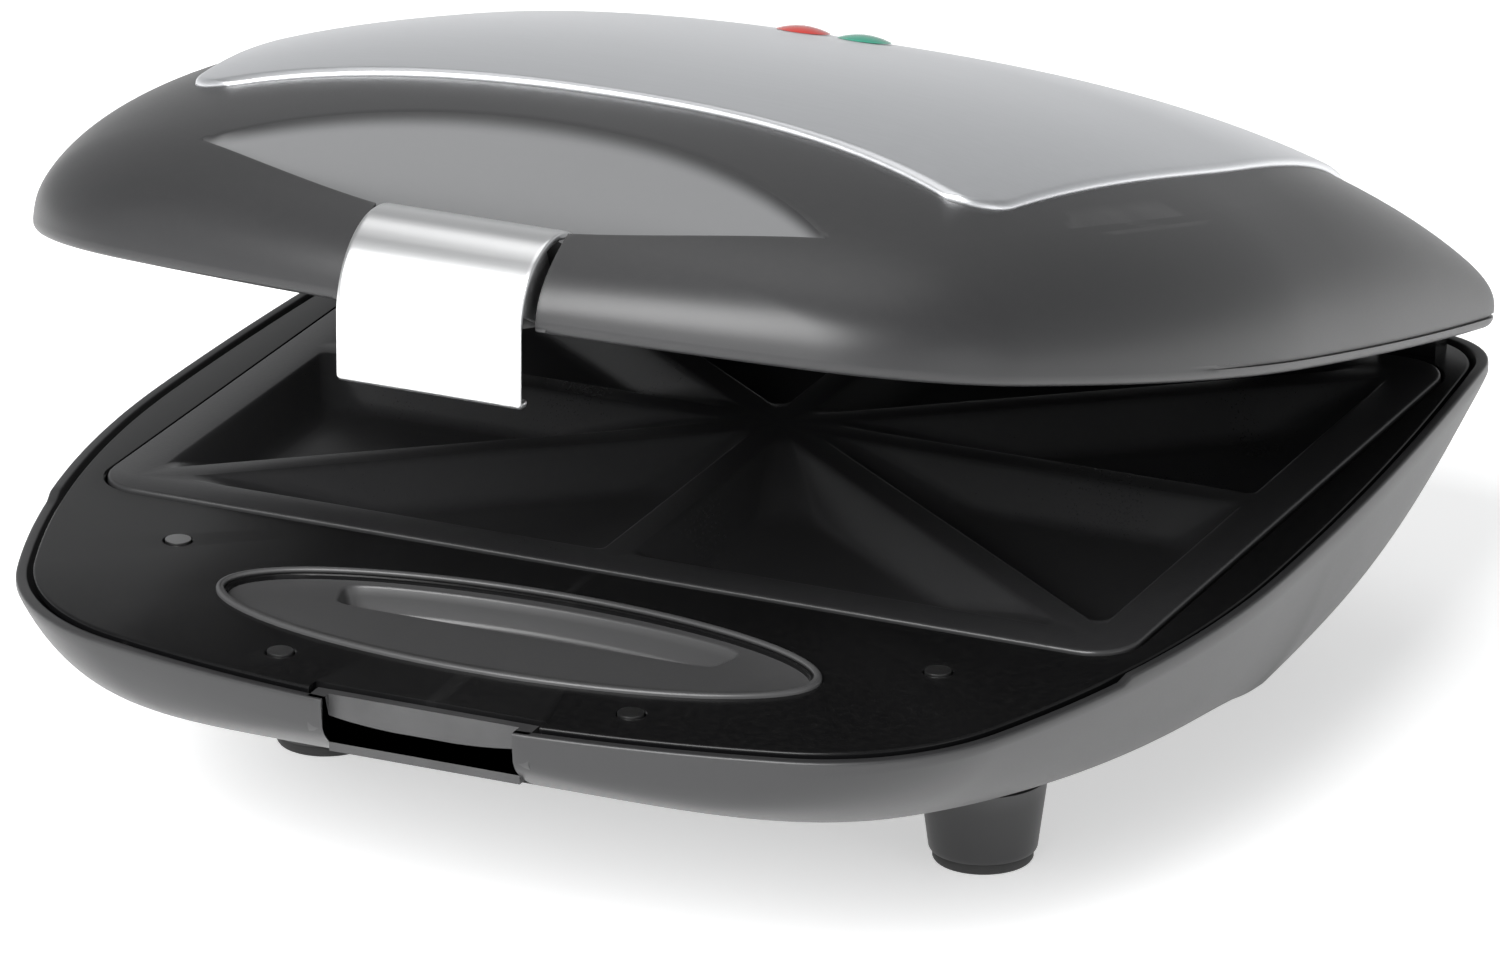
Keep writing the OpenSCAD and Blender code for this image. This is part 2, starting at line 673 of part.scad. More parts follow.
// Knuckles that the lid carries, one for each hinge
module lid_hinges() {
    color("#3b3c3f")
    lid_pose() both_sides() difference() {
        union() {
            rod_x(hinge_x - lid_knuckle_l / 2, hinge_x + lid_knuckle_l / 2, hinge_y, hinge_z, knuckle_r);
            extrude_x(hinge_x - lid_knuckle_l / 2, hinge_x + lid_knuckle_l / 2) polygon(lid_web);
        }
        rod_x(hinge_x - lid_knuckle_l, hinge_x + lid_knuckle_l, hinge_y, hinge_z, hinge_pin_r + pin_clearance);
    }
}
seat_play = 0.01;
foot_bite = 12;
block_x = 78;
block_y = rear_y - 36;
block_z = 34;

lug_spot = [half_w - 31, rear_y - 13];
module base_frame() {
    hole_w = plate_w + 2 * plate_gap;
    hole_d = plate_d + 2 * plate_gap;
    color("#1b1b1d")
    difference() {
        union() {
            slab(plan_at(wall + frame_gap), deck_z - frame_t, deck_z);
            plate_slab(hole_w + 4, hole_d + 4, plate_corner_r + 2, plate_z - plate_t - ledge_t, plate_z - plate_t);
            both_sides() block([lug_spot.x - 8, lug_spot.y - 4, deck_z - 1], [lug_spot.x + 8, lug_spot.y + 4, deck_z + lug_h]);
        }
        plate_slab(hole_w, hole_d, plate_corner_r + plate_gap, plate_z - plate_t, far);
        plate_slab(plate_w - 2 * ledge_w, plate_d - 2 * ledge_w, plate_corner_r, 0, far);
        slab(tray_oval(tray_lip_w + 1), 0, far);
        block([-lane - 4 - frame_gap, -far, 0], [lane + 4 + frame_gap, channel_y + wall + frame_gap, far]);
        frame_holes(deck_z - recess, true);
    }
}
tray_y = front_y + tray_back;

// Finger pocket: its front and ends lean in towards the floor and its rear follows the lip
module finger_well(grow, z_top, z_floor) {
    rear = tray_y + tray_half_w;
    front = rear - well_back;
    end_draw = 8;
    lean = 4;
    top = [[-finger_half_l, rear], [finger_half_l, rear], [finger_half_l - end_draw, front], [end_draw - finger_half_l, front]];
    top_pts = [for (p = top) [p.x + sign(p.x) * grow, p.y == front ? front - grow : rear]];
    floor_pts = [for (p = top) [p.x - sign(p.x) * (lean - grow), p.y == front ? front + lean / 2 - grow : rear]];
    intersection() {
        polyhedron(
            points = concat([for (p = top_pts) [p.x, p.y, z_top]], [for (p = floor_pts) [p.x, p.y, z_floor]]),
            faces = [[1, 2, 3], [1, 3, 0], [4, 7, 6], [4, 6, 5], [0, 4, 5], [0, 5, 1], [1, 5, 6], [1, 6, 2], [2, 6, 7], [2, 7, 3], [3, 7, 4], [3, 4, 0]]);
        slab(tray_oval(tray_lip_w + 3.4 - grow), 0, far);
    }
}
well_back = 24;
function tray_oval(inset) = ellipse_points([0, tray_y], tray_half_l - inset, tray_half_w - inset, 48);

module handle_tray() {
    skin = 1.6;
    floor_z = deck_z - 1.4;
    color("#4a4b4f")
    difference() {
        union() {
            slab(tray_oval(0), deck_z, deck_z + tray_lip_h);
            slab(tray_oval(tray_lip_w + 1.4), floor_z - skin, deck_z + tray_lip_h / 2);
            finger_well(skin, floor_z - skin / 2, deck_z - finger_depth - skin);
        }
        slab(tray_oval(tray_lip_w + 3), floor_z, far);
        slab(tray_oval(tray_lip_w), deck_z + tray_lip_h / 2, far);
        finger_well(0, floor_z + eps, deck_z - finger_depth);
    }
}

module at_plate() {
    translate([0, plate_back, plate_z]) children();
}
module at_lid_plate() {
    lid_pose() translate([0, plate_back, lid_plate_z]) mirror([0, 0, 1]) children();
}

module lower_plate() {
    color("#202022") at_plate() plate_body();
}
module lower_element() {
    color("#6d6a66") at_plate() element_body();
}
module lower_element_clamps() {
    color("#a8a9ab") at_plate() clamps_body();
}
module lower_reflector() {
    color("#c9cbce") at_plate() reflector_body();
}
module lower_plate_screws() {
    color("#b9bbbe") at_plate() plate_screws_body();
}

module thermostat() {
    color("#d8d2c4") at_plate() {
        post([0, 0], sensor_z - 7, sensor_z, 8);
        both_sides() block([3, -3, sensor_z - 9], [5, 3, sensor_z - 6]);
    }
}

module terminal_block() {
    color("#d9d6cc")
    difference() {
        block([block_x - 16, block_y - 8, block_z], [block_x + 16, block_y + 8, block_z + 11]);
        for (k = [-1:1]) {
            translate([block_x + 10 * k, block_y - 9, block_z + 6]) rotate([-90, 0, 0]) cylinder(r = 2, h = 18, $fn = 32);
            post([block_x + 10 * k, block_y], block_z + 6, block_z + 12, 2.4);
        }
    }
}

// A lead bent through a few points, swept as one eight-sided tube; the side vector lies across every run
lead_r = 1.2;
lead_sides = 8;
function unit(v) = v / norm(v);
function lead_dir(points, i) = unit(
    i == 0 ? points[1] - points[0]
    : i == len(points) - 1 ? points[i] - points[i - 1]
    : unit(points[i] - points[i - 1]) + unit(points[i + 1] - points[i]));
module lead(points, side = [0, 0, 1]) {
    rings = [for (i = [0:len(points) - 1]) let(
        d = lead_dir(points, i),
        u = unit(cross(d, side)),
        v = cross(d, u))
        [for (k = [0:lead_sides - 1]) points[i] + lead_r * (cos(360 * k / lead_sides) * u - sin(360 * k / lead_sides) * v)]];
    ring_solid(points[0], rings, points[len(points) - 1]);
}

module base_leads() {
    y0 = block_y + 8.2;
    z0 = block_z + 6;
    zp = plate_z + element_z;
    ye = plate_back + element_end_y;
    color("#8c2f2a") {
        lead([[block_x - 10, y0, z0], [block_x - 14, y0 + 6, z0], [element_end_x + 6, ye + 8, zp - 4], [element_end_x, ye + 0.9, zp]]);
        lead([[block_x, y0, z0], [block_x - 6, y0 + 11, z0 - 2], [-element_end_x, ye + 12, zp - 8], [-element_end_x, ye + 0.9, zp]]);
        lead([[block_x - 10, block_y - 8.2, z0], [block_x - 20, block_y - 20, z0], [12, plate_back + 20, z0],
            [4, plate_back, plate_z + reflector_floor - 5], [4, plate_back, plate_z + sensor_z - 9.2]], [1, -1, 0]);
    }
}

module cord_gland() {
    color("#1d1d1f")
    translate([gland_x, 0, gland_z]) rotate([-90, 0, 0]) {
        difference() {
            union() {
                translate([0, 0, gland_face - 18]) cylinder(r = gland_r, h = 18 + eps, $fn = 48);
                translate([0, 0, gland_face]) cylinder(r = gland_r + 3, h = 3, $fn = 48);
            }
            translate([0, 0, gland_face - 20]) cylinder(r = gland_bore_r, h = 30, $fn = 48);
        }
    }
}
gland_bore_r = 3.6;

module foot_at(p) {
    color("#2e2f31")
    difference() {
        translate([p.x, p.y, pad_t]) cylinder(r1 = foot_bottom_r, r2 = foot_top_r, h = foot_top(p) - pad_t, $fn = 64);
        post(p, 0, pad_t + 4, head_r + 0.5);
        post(p, 0, far, screw_r + 0.3);
    }
}
module foot_front_left() foot_at(foot_spots[0]);
module foot_front_right() foot_at(foot_spots[1]);
module foot_rear_left() foot_at(foot_spots[2]);
module foot_rear_right() foot_at(foot_spots[3]);

module pad_at(p) {
    color("#17181a") post(p, 0, pad_t, foot_bottom_r - 1);
}
module foot_pad_front_left() pad_at(foot_spots[0]);
module foot_pad_front_right() pad_at(foot_spots[1]);
module foot_pad_rear_left() pad_at(foot_spots[2]);
module foot_pad_rear_right() pad_at(foot_spots[3]);

module foot_screws() {
    color("#b9bbbe")
    for (p = foot_spots) {
        screw_up(p, pad_t + 4, foot_top(p) - pad_t - 4 + foot_bite - 1);
    }
}

module base_frame_screws() {
    color("#9a9b9e")
    for (p = frame_screw_spots) {
        screw_down(p, deck_z - recess, frame_t - recess + screw_bite);
    }
}

module hinge_pins() {
    color("#b9bbbe") both_sides() rod_x(hinge_x - knuckle_half, hinge_x + knuckle_half, hinge_y, hinge_z, hinge_pin_r);
}

// ---- lid ----
module at_lid() {
    translate([0, -widest_ahead, lid_z]) children();
}
lens_y = 40;
lens_lift = 0.35;
lens_seat = lid_top(0, lens_y + widest_ahead) + panel_gap + panel_t + lens_lift;
stem_r = 4;
stem_l = 9;
board_z = lid_z + lens_seat - stem_l - 13;
board_post_x = 24;

module lid_housing() {
    color("#58595d")
    lid_pose() difference() {
        union() {
            at_lid() lid_shell();
            intersection() {
                at_lid() lid_fill();
                union() {
                    for (p = frame_screw_spots) {
                        boss(p, lid_frame_z + frame_t, lid_z + dome_h, column_r, column_r + 1.5);
                    }
                    for (sx = [-1, 1]) {
                        boss([sx * board_post_x, lens_y], board_z + board_t, lid_z + dome_h, 3, 4);
                    }
                    difference() {
                        block([-lane - wall, -far, lid_z], [lane + wall, slot_rear + wall, lid_z + far]);
                        block([-lane, -far, 0], [lane, slot_rear, far]);
                    }
                }
            }
        }
        block([-lane, -far, 0], [lane, slot_rear, far]);
        for (p = frame_screw_spots) {
            pilot(p, lid_frame_z, lid_frame_z + frame_t + screw_bite + 1, screw_r + 2 * thread_play);
        }
        for (sx = [-1, 1]) {
            pilot([sx * lens_x, lens_y], board_z, far, stem_r + 0.4);
        }
        both_sides() extrude_x(hinge_x - lid_knuckle_l / 2, hinge_x + lid_knuckle_l / 2) polygon(lid_web);
    }
}

// Roll that fills the slot in the lid's front and carries the latch pin
module latch_carrier() {
    color("#3a3b3e")
    lid_pose() difference() {
        rod_x(-core_half, core_half, latch_y, latch_z, core_r);
        rod_x(-core_half + wall, core_half - wall, latch_y, latch_z, core_r - wall);
        block([-far, -far, 0], [far, far, lid_z]);
        block([-far, slot_rear, 0], [far, far, far]);
        rod_x(-core_half - 1, core_half + 1, latch_y, latch_z, latch_pin_r + seat_play);
    }
}
board_t = 1.6;

// Rows across the metal panel, drawn in by a bevel
panel_rows = [0, 0.8, 2.5, 6, 12, 26, 44, 64, 86, 108, 130, 152, 174, 192, 206, 215, 219.5, 221];
panel_cols = 18;
panel_l = front_reach + rear_reach - panel_back - panel_rear;
function corner_draw(d, r) = d >= r ? 0 : r - sqrt(max(0, r ^ 2 - (r - d) ^ 2));
function panel_point(i, j, inset, lift) = let(
    last = panel_rows[len(panel_rows) - 1],
    d = inset + panel_rows[j] / last * (panel_l - 2 * inset),
    swell = panel_flare * sin(180 * d / panel_l),
    w = panel_half_w + swell - inset - corner_draw(min(d, panel_l - d), panel_corner_r),
    across = 2 * i / panel_cols - 1,
    x = w * across,
    y = -front_reach + panel_back + d + panel_bow * (1 - across ^ 2) * (1 - d / panel_l))
    [x, y, lid_top(x, y) + lift];

module lid_panel() {
    rows = len(panel_rows);
    cols = panel_cols + 1;
    bevel = 1.2;
    points = concat(
        [for (j = [0:rows - 1], i = [0:panel_cols]) panel_point(i, j, 0, panel_gap)],
        [for (j = [0:rows - 1], i = [0:panel_cols]) panel_point(i, j, bevel, panel_gap + panel_t)]);
    up = rows * cols;
    edge = concat(
        [for (i = [0:panel_cols]) i],
        [for (j = [1:rows - 1]) j * cols + panel_cols],
        [for (i = [panel_cols - 1:-1:0]) (rows - 1) * cols + i],
        [for (j = [rows - 2:-1:1]) j * cols]);
    faces = concat(
        [for (j = [0:rows - 2], i = [0:panel_cols - 1], k = [0:3]) let(a = j * cols + i, b = a + cols)
            k == 0 ? [a, a + 1, b + 1] : k == 1 ? [a, b + 1, b] : k == 2 ? [up + a, up + b + 1, up + a + 1] : [up + a, up + b, up + b + 1]],
        [for (m = [0:len(edge) - 1], k = [0, 1]) let(a = edge[m], b = edge[(m + 1) % len(edge)])
            k == 0 ? [a, up + a, up + b] : [a, up + b, b]]);
    color("#b4b7bb")
    lid_pose() difference() {
        at_lid() polyhedron(points = points, faces = faces);
        for (sx = [-1, 1]) {
            post([sx * lens_x, lens_y], lid_z, far, stem_r + 0.3);
        }
    }
}

lens_sphere_r = (lens_r ^ 2 + lens_h ^ 2) / (2 * lens_h);
module lens_at(sx) {
    lid_pose() translate([sx * lens_x, lens_y, lid_z + lens_seat]) {
        intersection() {
            translate([0, 0, lens_h - lens_sphere_r]) sphere(r = lens_sphere_r, $fn = 64);
            cylinder(r = lens_r + 1, h = lens_h + 1, $fn = 64);
        }
        translate([0, 0, -stem_l]) cylinder(r = stem_r, h = stem_l + eps, $fn = 48);
    }
}
module power_lens() {
    color("#c02018") lens_at(-1);
}
module ready_lens() {
    color("#12a070") lens_at(1);
}

module lamp_holder() {
    color("#3c6b46")
    lid_pose() block([-board_post_x - 5, lens_y - 7, board_z], [board_post_x + 5, lens_y + 7, board_z + board_t]);
}

module neon_lamps() {
    color("#f0b890")
    lid_pose() both_sides() {
        post([lens_x, lens_y], board_z + board_t, board_z + board_t + 7, 3);
        translate([lens_x, lens_y, board_z + board_t + 7]) sphere(r = 3, $fn = 32);
    }
}

module lamp_leads() {
    z = board_z - lead_r - 0.1;
    color("#8c2f2a")
    lid_pose() both_sides() {
        lead([[lens_x, lens_y, z], [lens_x + 3, lens_y + 30, z - 2], [lens_x + 30, lens_y + 72, z - 5]]);
    }
}

module upper_frame() {
    hole_w = plate_w + 2 * plate_gap;
    hole_d = plate_d + 2 * plate_gap;
    shelf_z = lid_plate_z + plate_t;
    color("#1b1b1d")
    lid_pose() difference() {
        union() {
            slab(plan_at(wall + lid_tuck + frame_gap), lid_frame_z, lid_frame_z + frame_t);
            plate_slab(hole_w + 4, hole_d + 4, plate_corner_r + 2, shelf_z, shelf_z + ledge_t);
        }
        plate_slab(hole_w, hole_d, plate_corner_r + plate_gap, 0, shelf_z);
        plate_slab(plate_w - 2 * ledge_w, plate_d - 2 * ledge_w, plate_corner_r, 0, far);
        both_sides() block([lug_spot.x - 10, lug_spot.y - 5.4, 0], [far, far, far]);
        block([-lane - wall - frame_gap, -far, 0], [lane + wall + frame_gap, slot_rear + wall + frame_gap, far]);
        frame_holes(lid_frame_z + recess, false);
    }
}

module upper_plate() {
    color("#202022") at_lid_plate() plate_body();
}
module upper_element() {
    color("#6d6a66") at_lid_plate() element_body();
}
module upper_element_clamps() {
    color("#a8a9ab") at_lid_plate() clamps_body();
}
module upper_reflector() {
    color("#c9cbce") at_lid_plate() reflector_body();
}
module upper_plate_screws() {
    color("#b9bbbe") at_lid_plate() plate_screws_body();
}
module thermal_fuse() {
    color("#b59b6a") at_lid_plate() rod_x(-7, 7, 0, sensor_z - 2.5, 2.5);
}
module upper_frame_screws() {
    color("#9a9b9e")
    lid_pose() for (p = frame_screw_spots) {
        screw_up(p, lid_frame_z + recess, frame_t - recess + screw_bite);
    }
}

module latch_pin() {
    color("#b9bbbe") lid_pose() rod_x(-clip_w / 2 - 0.6, clip_w / 2 + 0.6, latch_y, latch_z, latch_pin_r);
}

module latch_clip() {
    boss_r = latch_pin_r + 1.8;
    steps = 16;
    band = concat(
        [for (i = [0:steps]) on_clip(clip_r, clip_top_a + (tail_a - clip_top_a) * i / steps)],
        [tail_end, lip_tip, lip_top, tail_end + clip_t * (inward - tail_dir)],
        [for (i = [steps:-1:0]) on_clip(clip_in_r, clip_top_a + (tail_a - clip_top_a) * i / steps)]);
    cheek = concat([on_clip(boss_r - 0.2, 180 + 60), on_clip(boss_r - 0.2, 60 + 45)],
        [for (a = [60:-11:5]) on_clip(clip_in_r + clip_t / 2, a)]);
    color("#d6d8db")
    lid_pose() translate([0, latch_y, latch_z]) difference() {
        union() {
            extrude_x(-clip_w / 2, clip_w / 2) polygon(band);
            both_sides() extrude_x(clip_w / 2 - clip_t, clip_w / 2) {
                polygon(cheek);
            }
            both_sides() rod_x(clip_w / 2 - clip_t, clip_w / 2, 0, 0, boss_r);
        }
        rod_x(-clip_w, clip_w, 0, 0, latch_pin_r + pin_clearance);
    }
}

base_housing();
base_frame();
handle_tray();
lower_plate();
lower_element();
lower_element_clamps();
lower_reflector();
lower_plate_screws();
thermostat();
terminal_block();
base_leads();
cord_gland();
foot_front_left();
foot_front_right();
foot_rear_left();
foot_rear_right();
foot_pad_front_left();
foot_pad_front_right();
foot_pad_rear_left();
foot_pad_rear_right();
foot_screws();
base_frame_screws();
hinge_pins();
base_hinges();
lid_hinges();
lid_housing();
lid_panel();
power_lens();
ready_lens();
lamp_holder();
neon_lamps();
lamp_leads();
upper_frame();
upper_plate();
upper_element();
upper_element_clamps();
upper_reflector();
upper_plate_screws();
thermal_fuse();
upper_frame_screws();
latch_carrier();
latch_pin();
latch_clip();
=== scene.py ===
# %% [markdown]
# # A sandwich toaster in cells
# The toaster is a clamshell: a dished base with a black deck and a ribbed baking plate,
# and a domed lid with a brushed metal panel, a hand scoop and a latch clip.
# Each cell makes one piece or one finish. All shapes are written in millimetres in the
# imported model's own frame and turned into metres as they go into a mesh.

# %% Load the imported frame
import json
import math

import bmesh
import bpy
import numpy as np
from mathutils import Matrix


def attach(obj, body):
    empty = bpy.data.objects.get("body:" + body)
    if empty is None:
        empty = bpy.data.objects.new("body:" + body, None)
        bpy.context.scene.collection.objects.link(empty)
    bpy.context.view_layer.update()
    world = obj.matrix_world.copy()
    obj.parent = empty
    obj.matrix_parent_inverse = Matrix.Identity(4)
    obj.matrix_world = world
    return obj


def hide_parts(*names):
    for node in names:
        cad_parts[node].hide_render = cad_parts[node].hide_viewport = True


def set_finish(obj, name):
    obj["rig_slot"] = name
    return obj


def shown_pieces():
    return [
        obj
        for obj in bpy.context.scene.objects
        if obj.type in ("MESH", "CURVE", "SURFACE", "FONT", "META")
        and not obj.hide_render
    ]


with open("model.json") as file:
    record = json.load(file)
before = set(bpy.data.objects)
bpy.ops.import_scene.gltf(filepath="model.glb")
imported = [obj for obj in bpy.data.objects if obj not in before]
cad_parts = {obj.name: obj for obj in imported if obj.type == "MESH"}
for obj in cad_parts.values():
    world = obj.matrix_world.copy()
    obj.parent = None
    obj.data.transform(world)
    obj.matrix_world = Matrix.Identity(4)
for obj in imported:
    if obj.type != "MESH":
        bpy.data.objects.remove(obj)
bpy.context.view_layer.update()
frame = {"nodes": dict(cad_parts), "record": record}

MM = 0.001
scene = bpy.context.scene

# %% [markdown]
# ## Camera
# A long lens a little to the right of the front and a little above it. It stands far off,
# so the parallel edges of the deck stay almost parallel.

# %% Camera
CAMERA_AZIMUTH = math.radians(24.65)
CAMERA_ELEVATION = math.radians(21.35)
camera_data = bpy.data.cameras.new("studio_camera")
camera_data.sensor_width = 36.0
camera_data.lens = 289.44
camera_data.clip_end = 50.0
camera = bpy.data.objects.new("studio_camera", camera_data)
camera.location = (1.17429, -2.54794, 1.16294)
camera.rotation_euler = (math.pi / 2 - CAMERA_ELEVATION, 0.0, CAMERA_AZIMUTH)
scene.collection.objects.link(camera)
scene.camera = camera
print("camera lens", camera_data.lens, "mm")

# %% [markdown]
# ## Helpers for meshes
# A piece is a grid of points: rows along one parameter, columns along the other.
# `grid_faces` joins neighbours into quads, and `make_piece` puts the arrays into a mesh,
# shades it smooth and keeps edges sharper than a given angle crisp.


# %% Mesh helpers
def grid_faces(rows, cols, start=0, wrap=False):
    """Quads between neighbours of a grid of rows x cols points. With wrap, the last column joins the first."""
    last = cols if wrap else cols - 1
    r, c = np.meshgrid(np.arange(rows - 1), np.arange(last), indexing="ij")
    a = r * cols + c
    b = r * cols + (c + 1) % cols
    return np.stack([a, b, b + cols, a + cols], axis=-1).reshape(-1, 4) + start


def fan_faces(tip, ring, flip=False):
    """Triangles from one point to each edge of a closed ring of point numbers."""
    nxt = np.roll(ring, -1)
    tris = np.stack([np.full_like(ring, tip), ring, nxt], axis=-1)
    return tris[:, ::-1] if flip else tris


def ring_skin(rings, first=None, last=None):
    """Grid faces between rings of points, with a fan to a tip where one is given for the first or last ring."""
    rows, cols = rings.shape[:2]
    points, faces = [rings.reshape(-1, 3)], [grid_faces(rows, cols, wrap=True)]
    for tip, row, flip in ((first, 0, True), (last, rows - 1, False)):
        if tip is not None:
            faces.append(fan_faces(rows * cols + len(points) - 1, row * cols + np.arange(cols), flip))
            points.append([tip])
    return np.concatenate(points), faces


def joined(parts):
    """Several pairs of points and face sets as one pair, with the point numbers moved on."""
    starts = np.cumsum([0] + [len(points) for points, _ in parts])
    faces = [group + start for (_, sets), start in zip(parts, starts, strict=False) for group in sets]
    return np.concatenate([points for points, _ in parts]), faces


def new_object(name, points, faces):
    """An object in the scene, its mesh made from points in millimetres and faces."""
    mesh = bpy.data.meshes.new(name)
    mesh.from_pydata((np.asarray(points, float) * MM).tolist(), [], faces)
    obj = bpy.data.objects.new(name, mesh)
    scene.collection.objects.link(obj)
    return obj


def edit_mesh(mesh, step=None):
    """Runs a step on the mesh's points, edges and faces, then turns the faces outwards."""
    work = bmesh.new()
    work.from_mesh(mesh)
    if step:
        step(work)
    bmesh.ops.recalc_face_normals(work, faces=work.faces)
    work.to_mesh(mesh)
    work.free()


def shade(obj, sharp):
    """Shades a mesh smooth and keeps edges sharper than the angle in degrees crisp."""
    obj.data.shade_smooth()
    obj.data.set_sharp_from_angle(angle=math.radians(sharp))


def make_piece(name, points, face_sets, body, nodes, slot, sharp=32.0):
    """Mesh from points in millimetres and arrays of faces, riding on a body and standing for CAD nodes."""
    obj = new_object(name, points, flat_list(face_sets))
    obj.data.validate()
    edit_mesh(obj.data, lambda work: bmesh.ops.remove_doubles(work, verts=work.verts, dist=1e-7))
    shade(obj, sharp)
    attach(obj, body)
    if nodes:
        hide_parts(*nodes)
    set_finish(obj, slot)
    return obj


def flat_list(face_sets):
    """Arrays of faces as one list of tuples."""
    return [tuple(face) for group in face_sets for face in group.tolist()]


def smooth_step(t):
    """0 below 0, 1 above 1, and 3t^2 - 2t^3 between."""
    t = np.clip(t, 0.0, 1.0)
    return t * t * (3 - 2 * t)


def box_mesh(lo, hi, pose=None):
    """Points and faces of a box between two corners, posed if need be."""
    points = [(x, y, z) for x in (lo[0], hi[0]) for y in (lo[1], hi[1]) for z in (lo[2], hi[2])]
    faces = [(0, 1, 3, 2), (4, 6, 7, 5), (0, 4, 5, 1), (2, 3, 7, 6), (0, 2, 6, 4), (1, 5, 7, 3)]
    return pose(points) if pose else points, faces


def cut(obj, tools, sharp):
    """Takes closed solids, each a pair of points in millimetres and faces, out of a closed mesh."""
    for points, faces in tools:
        tool = new_object("cutter", points, faces)
        edit_mesh(tool.data)
        difference = obj.modifiers.new("cut", "BOOLEAN")
        difference.operation = "DIFFERENCE"
        difference.solver = "EXACT"
        difference.object = tool
        graph = bpy.context.evaluated_depsgraph_get()
        mesh = bpy.data.meshes.new_from_object(obj.evaluated_get(graph))
        obj.modifiers.clear()
        whole, tool_mesh = obj.data, tool.data
        obj.data = mesh
        mesh.name = whole.name + "_cut"
        bpy.data.objects.remove(tool)
        bpy.data.meshes.remove(whole)
        bpy.data.meshes.remove(tool_mesh)
    shade(obj, sharp)


def mesh_points(mesh):
    """The mesh's points as rows of coordinates in metres."""
    points = np.zeros(len(mesh.vertices) * 3, np.float32)
    mesh.vertices.foreach_get("co", points)
    return points.reshape(-1, 3)


def hold_behind(obj, front):
    """Moves any point ahead of the front plane back onto it: y' = max(y, front)."""
    points = mesh_points(obj.data)
    points[:, 1] = np.maximum(points[:, 1], front * MM)
    obj.data.vertices.foreach_set("co", points.ravel())
    obj.data.update()


print("helpers ready")

# %% [markdown]
# ## The lid's pose
# The lid's pieces are worked out shut and then turned about the hinge axis by the angle
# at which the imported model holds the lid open.

# %% Lid pose
HINGE_Y, HINGE_Z = 172.0, 69.2
LID_OPEN = math.radians(15.5)
LID_Z, RIM_Z, WIDEST_Y = 73.4, 72.0, -12.0
LID_AT = np.array([0, WIDEST_Y, LID_Z])


def lid_pose(points):
    """Turns shut-lid points about the hinge: y' = y cos a + z sin a, z' = z cos a - y sin a, from the axis."""
    p = np.array(points, float)
    y = p[..., 1] - HINGE_Y
    z = p[..., 2] - HINGE_Z
    p[..., 1] = HINGE_Y + y * math.cos(LID_OPEN) + z * math.sin(LID_OPEN)
    p[..., 2] = HINGE_Z - y * math.sin(LID_OPEN) + z * math.cos(LID_OPEN)
    return p


# %% [markdown]
# ## Plan outline
# Seen from above, both housings share one outline. It is five arcs that meet with common
# tangents: a wide front, round front corners, swelling sides, long rear sides and tight
# rear corners. Points are spread along it by length, closer together at the front.

# %% Plan outline
HALF_W, FRONT, REAR = 155.0, 168.0, 172.0
FRONT_R, CORNER_R, SIDE_R, SIDE_REAR_R, REAR_R = 350.0, 60.0, 320.0, 1350.0, 20.0
MID_Y = (REAR - FRONT) / 2
MIDDLE = np.array([0.0, MID_Y])
HALF_D = (REAR + FRONT) / 2


def outline_arcs():
    """Centres and end angles of the arcs, from the condition that neighbours touch with one tangent."""
    front_c = np.array([0.0, FRONT_R - FRONT])
    side_c = np.array([HALF_W - SIDE_R, 0.0])
    reach = np.linalg.norm(side_c - front_c)
    near = ((FRONT_R - CORNER_R) ** 2 - (SIDE_R - CORNER_R) ** 2 + reach**2) / (2 * reach)
    off = math.sqrt((FRONT_R - CORNER_R) ** 2 - near**2)
    along = (side_c - front_c) / reach
    corner_c = front_c + near * along + off * np.array([-along[1], along[0]])
    rear_side_c = np.array([HALF_W - SIDE_REAR_R, 0.0])
    rear_y = REAR - REAR_R
    rear_c = np.array([rear_side_c[0] + math.sqrt((SIDE_REAR_R - REAR_R) ** 2 - rear_y**2), rear_y])
    front_a = math.atan2(*(corner_c - front_c)[::-1])
    side_a = math.atan2(*(corner_c - side_c)[::-1])
    rear_a = math.atan2(*(rear_c - rear_side_c)[::-1])
    return [
        (front_c, FRONT_R, -math.pi / 2, front_a),
        (corner_c, CORNER_R, front_a, side_a),
        (side_c, SIDE_R, side_a, 0.0),
        (rear_side_c, SIDE_REAR_R, 0.0, rear_a),
        (rear_c, REAR_R, rear_a, math.pi / 2),
    ], rear_c[0]


ARCS, REAR_X = outline_arcs()


def full_outline(counts):
    """Closed outline, anticlockwise from the front middle, with counts of points for the arcs and the rear line."""
    *arc_counts, n = counts
    parts = []
    for (c, r, a0, a1), k in zip(ARCS, arc_counts, strict=True):
        a = a0 + (a1 - a0) * np.arange(k) / k
        parts.append(c + r * np.column_stack([np.cos(a), np.sin(a)]))
    parts.append(np.column_stack([REAR_X * (1 - np.arange(n) / n), np.full(n, REAR)]))
    right = np.concatenate(parts + [[[0.0, REAR]]])
    return np.concatenate([right, right[-2:0:-1] * np.array([-1.0, 1.0])])


def half_width(y):
    """Half width of the outline at a distance y from the widest station, arc by arc."""
    y = np.asarray(y, float)
    pick = np.searchsorted([c[1] + r * math.sin(end) for c, r, _, end in ARCS[:-1]], y)
    out = np.zeros_like(y)
    for i, (c, r, _, _) in enumerate(ARCS):
        here = pick == i
        out[here] = c[0] + np.sqrt(np.maximum(1e-4, r**2 - (y[here] - c[1]) ** 2))
    return np.maximum(out, 0.01)


OUTLINE = full_outline([58, 34, 34, 40, 12, 40])
print("outline of", len(OUTLINE), "points")

# %% [markdown]
# ## Lid dome
# The dome rises from the lid's lower edge. Its height is a product of two falloffs,
# one along the lid and one across it. A crescent scoop is taken out behind the front
# roll, deepest towards the roll, with a crisp upper edge.

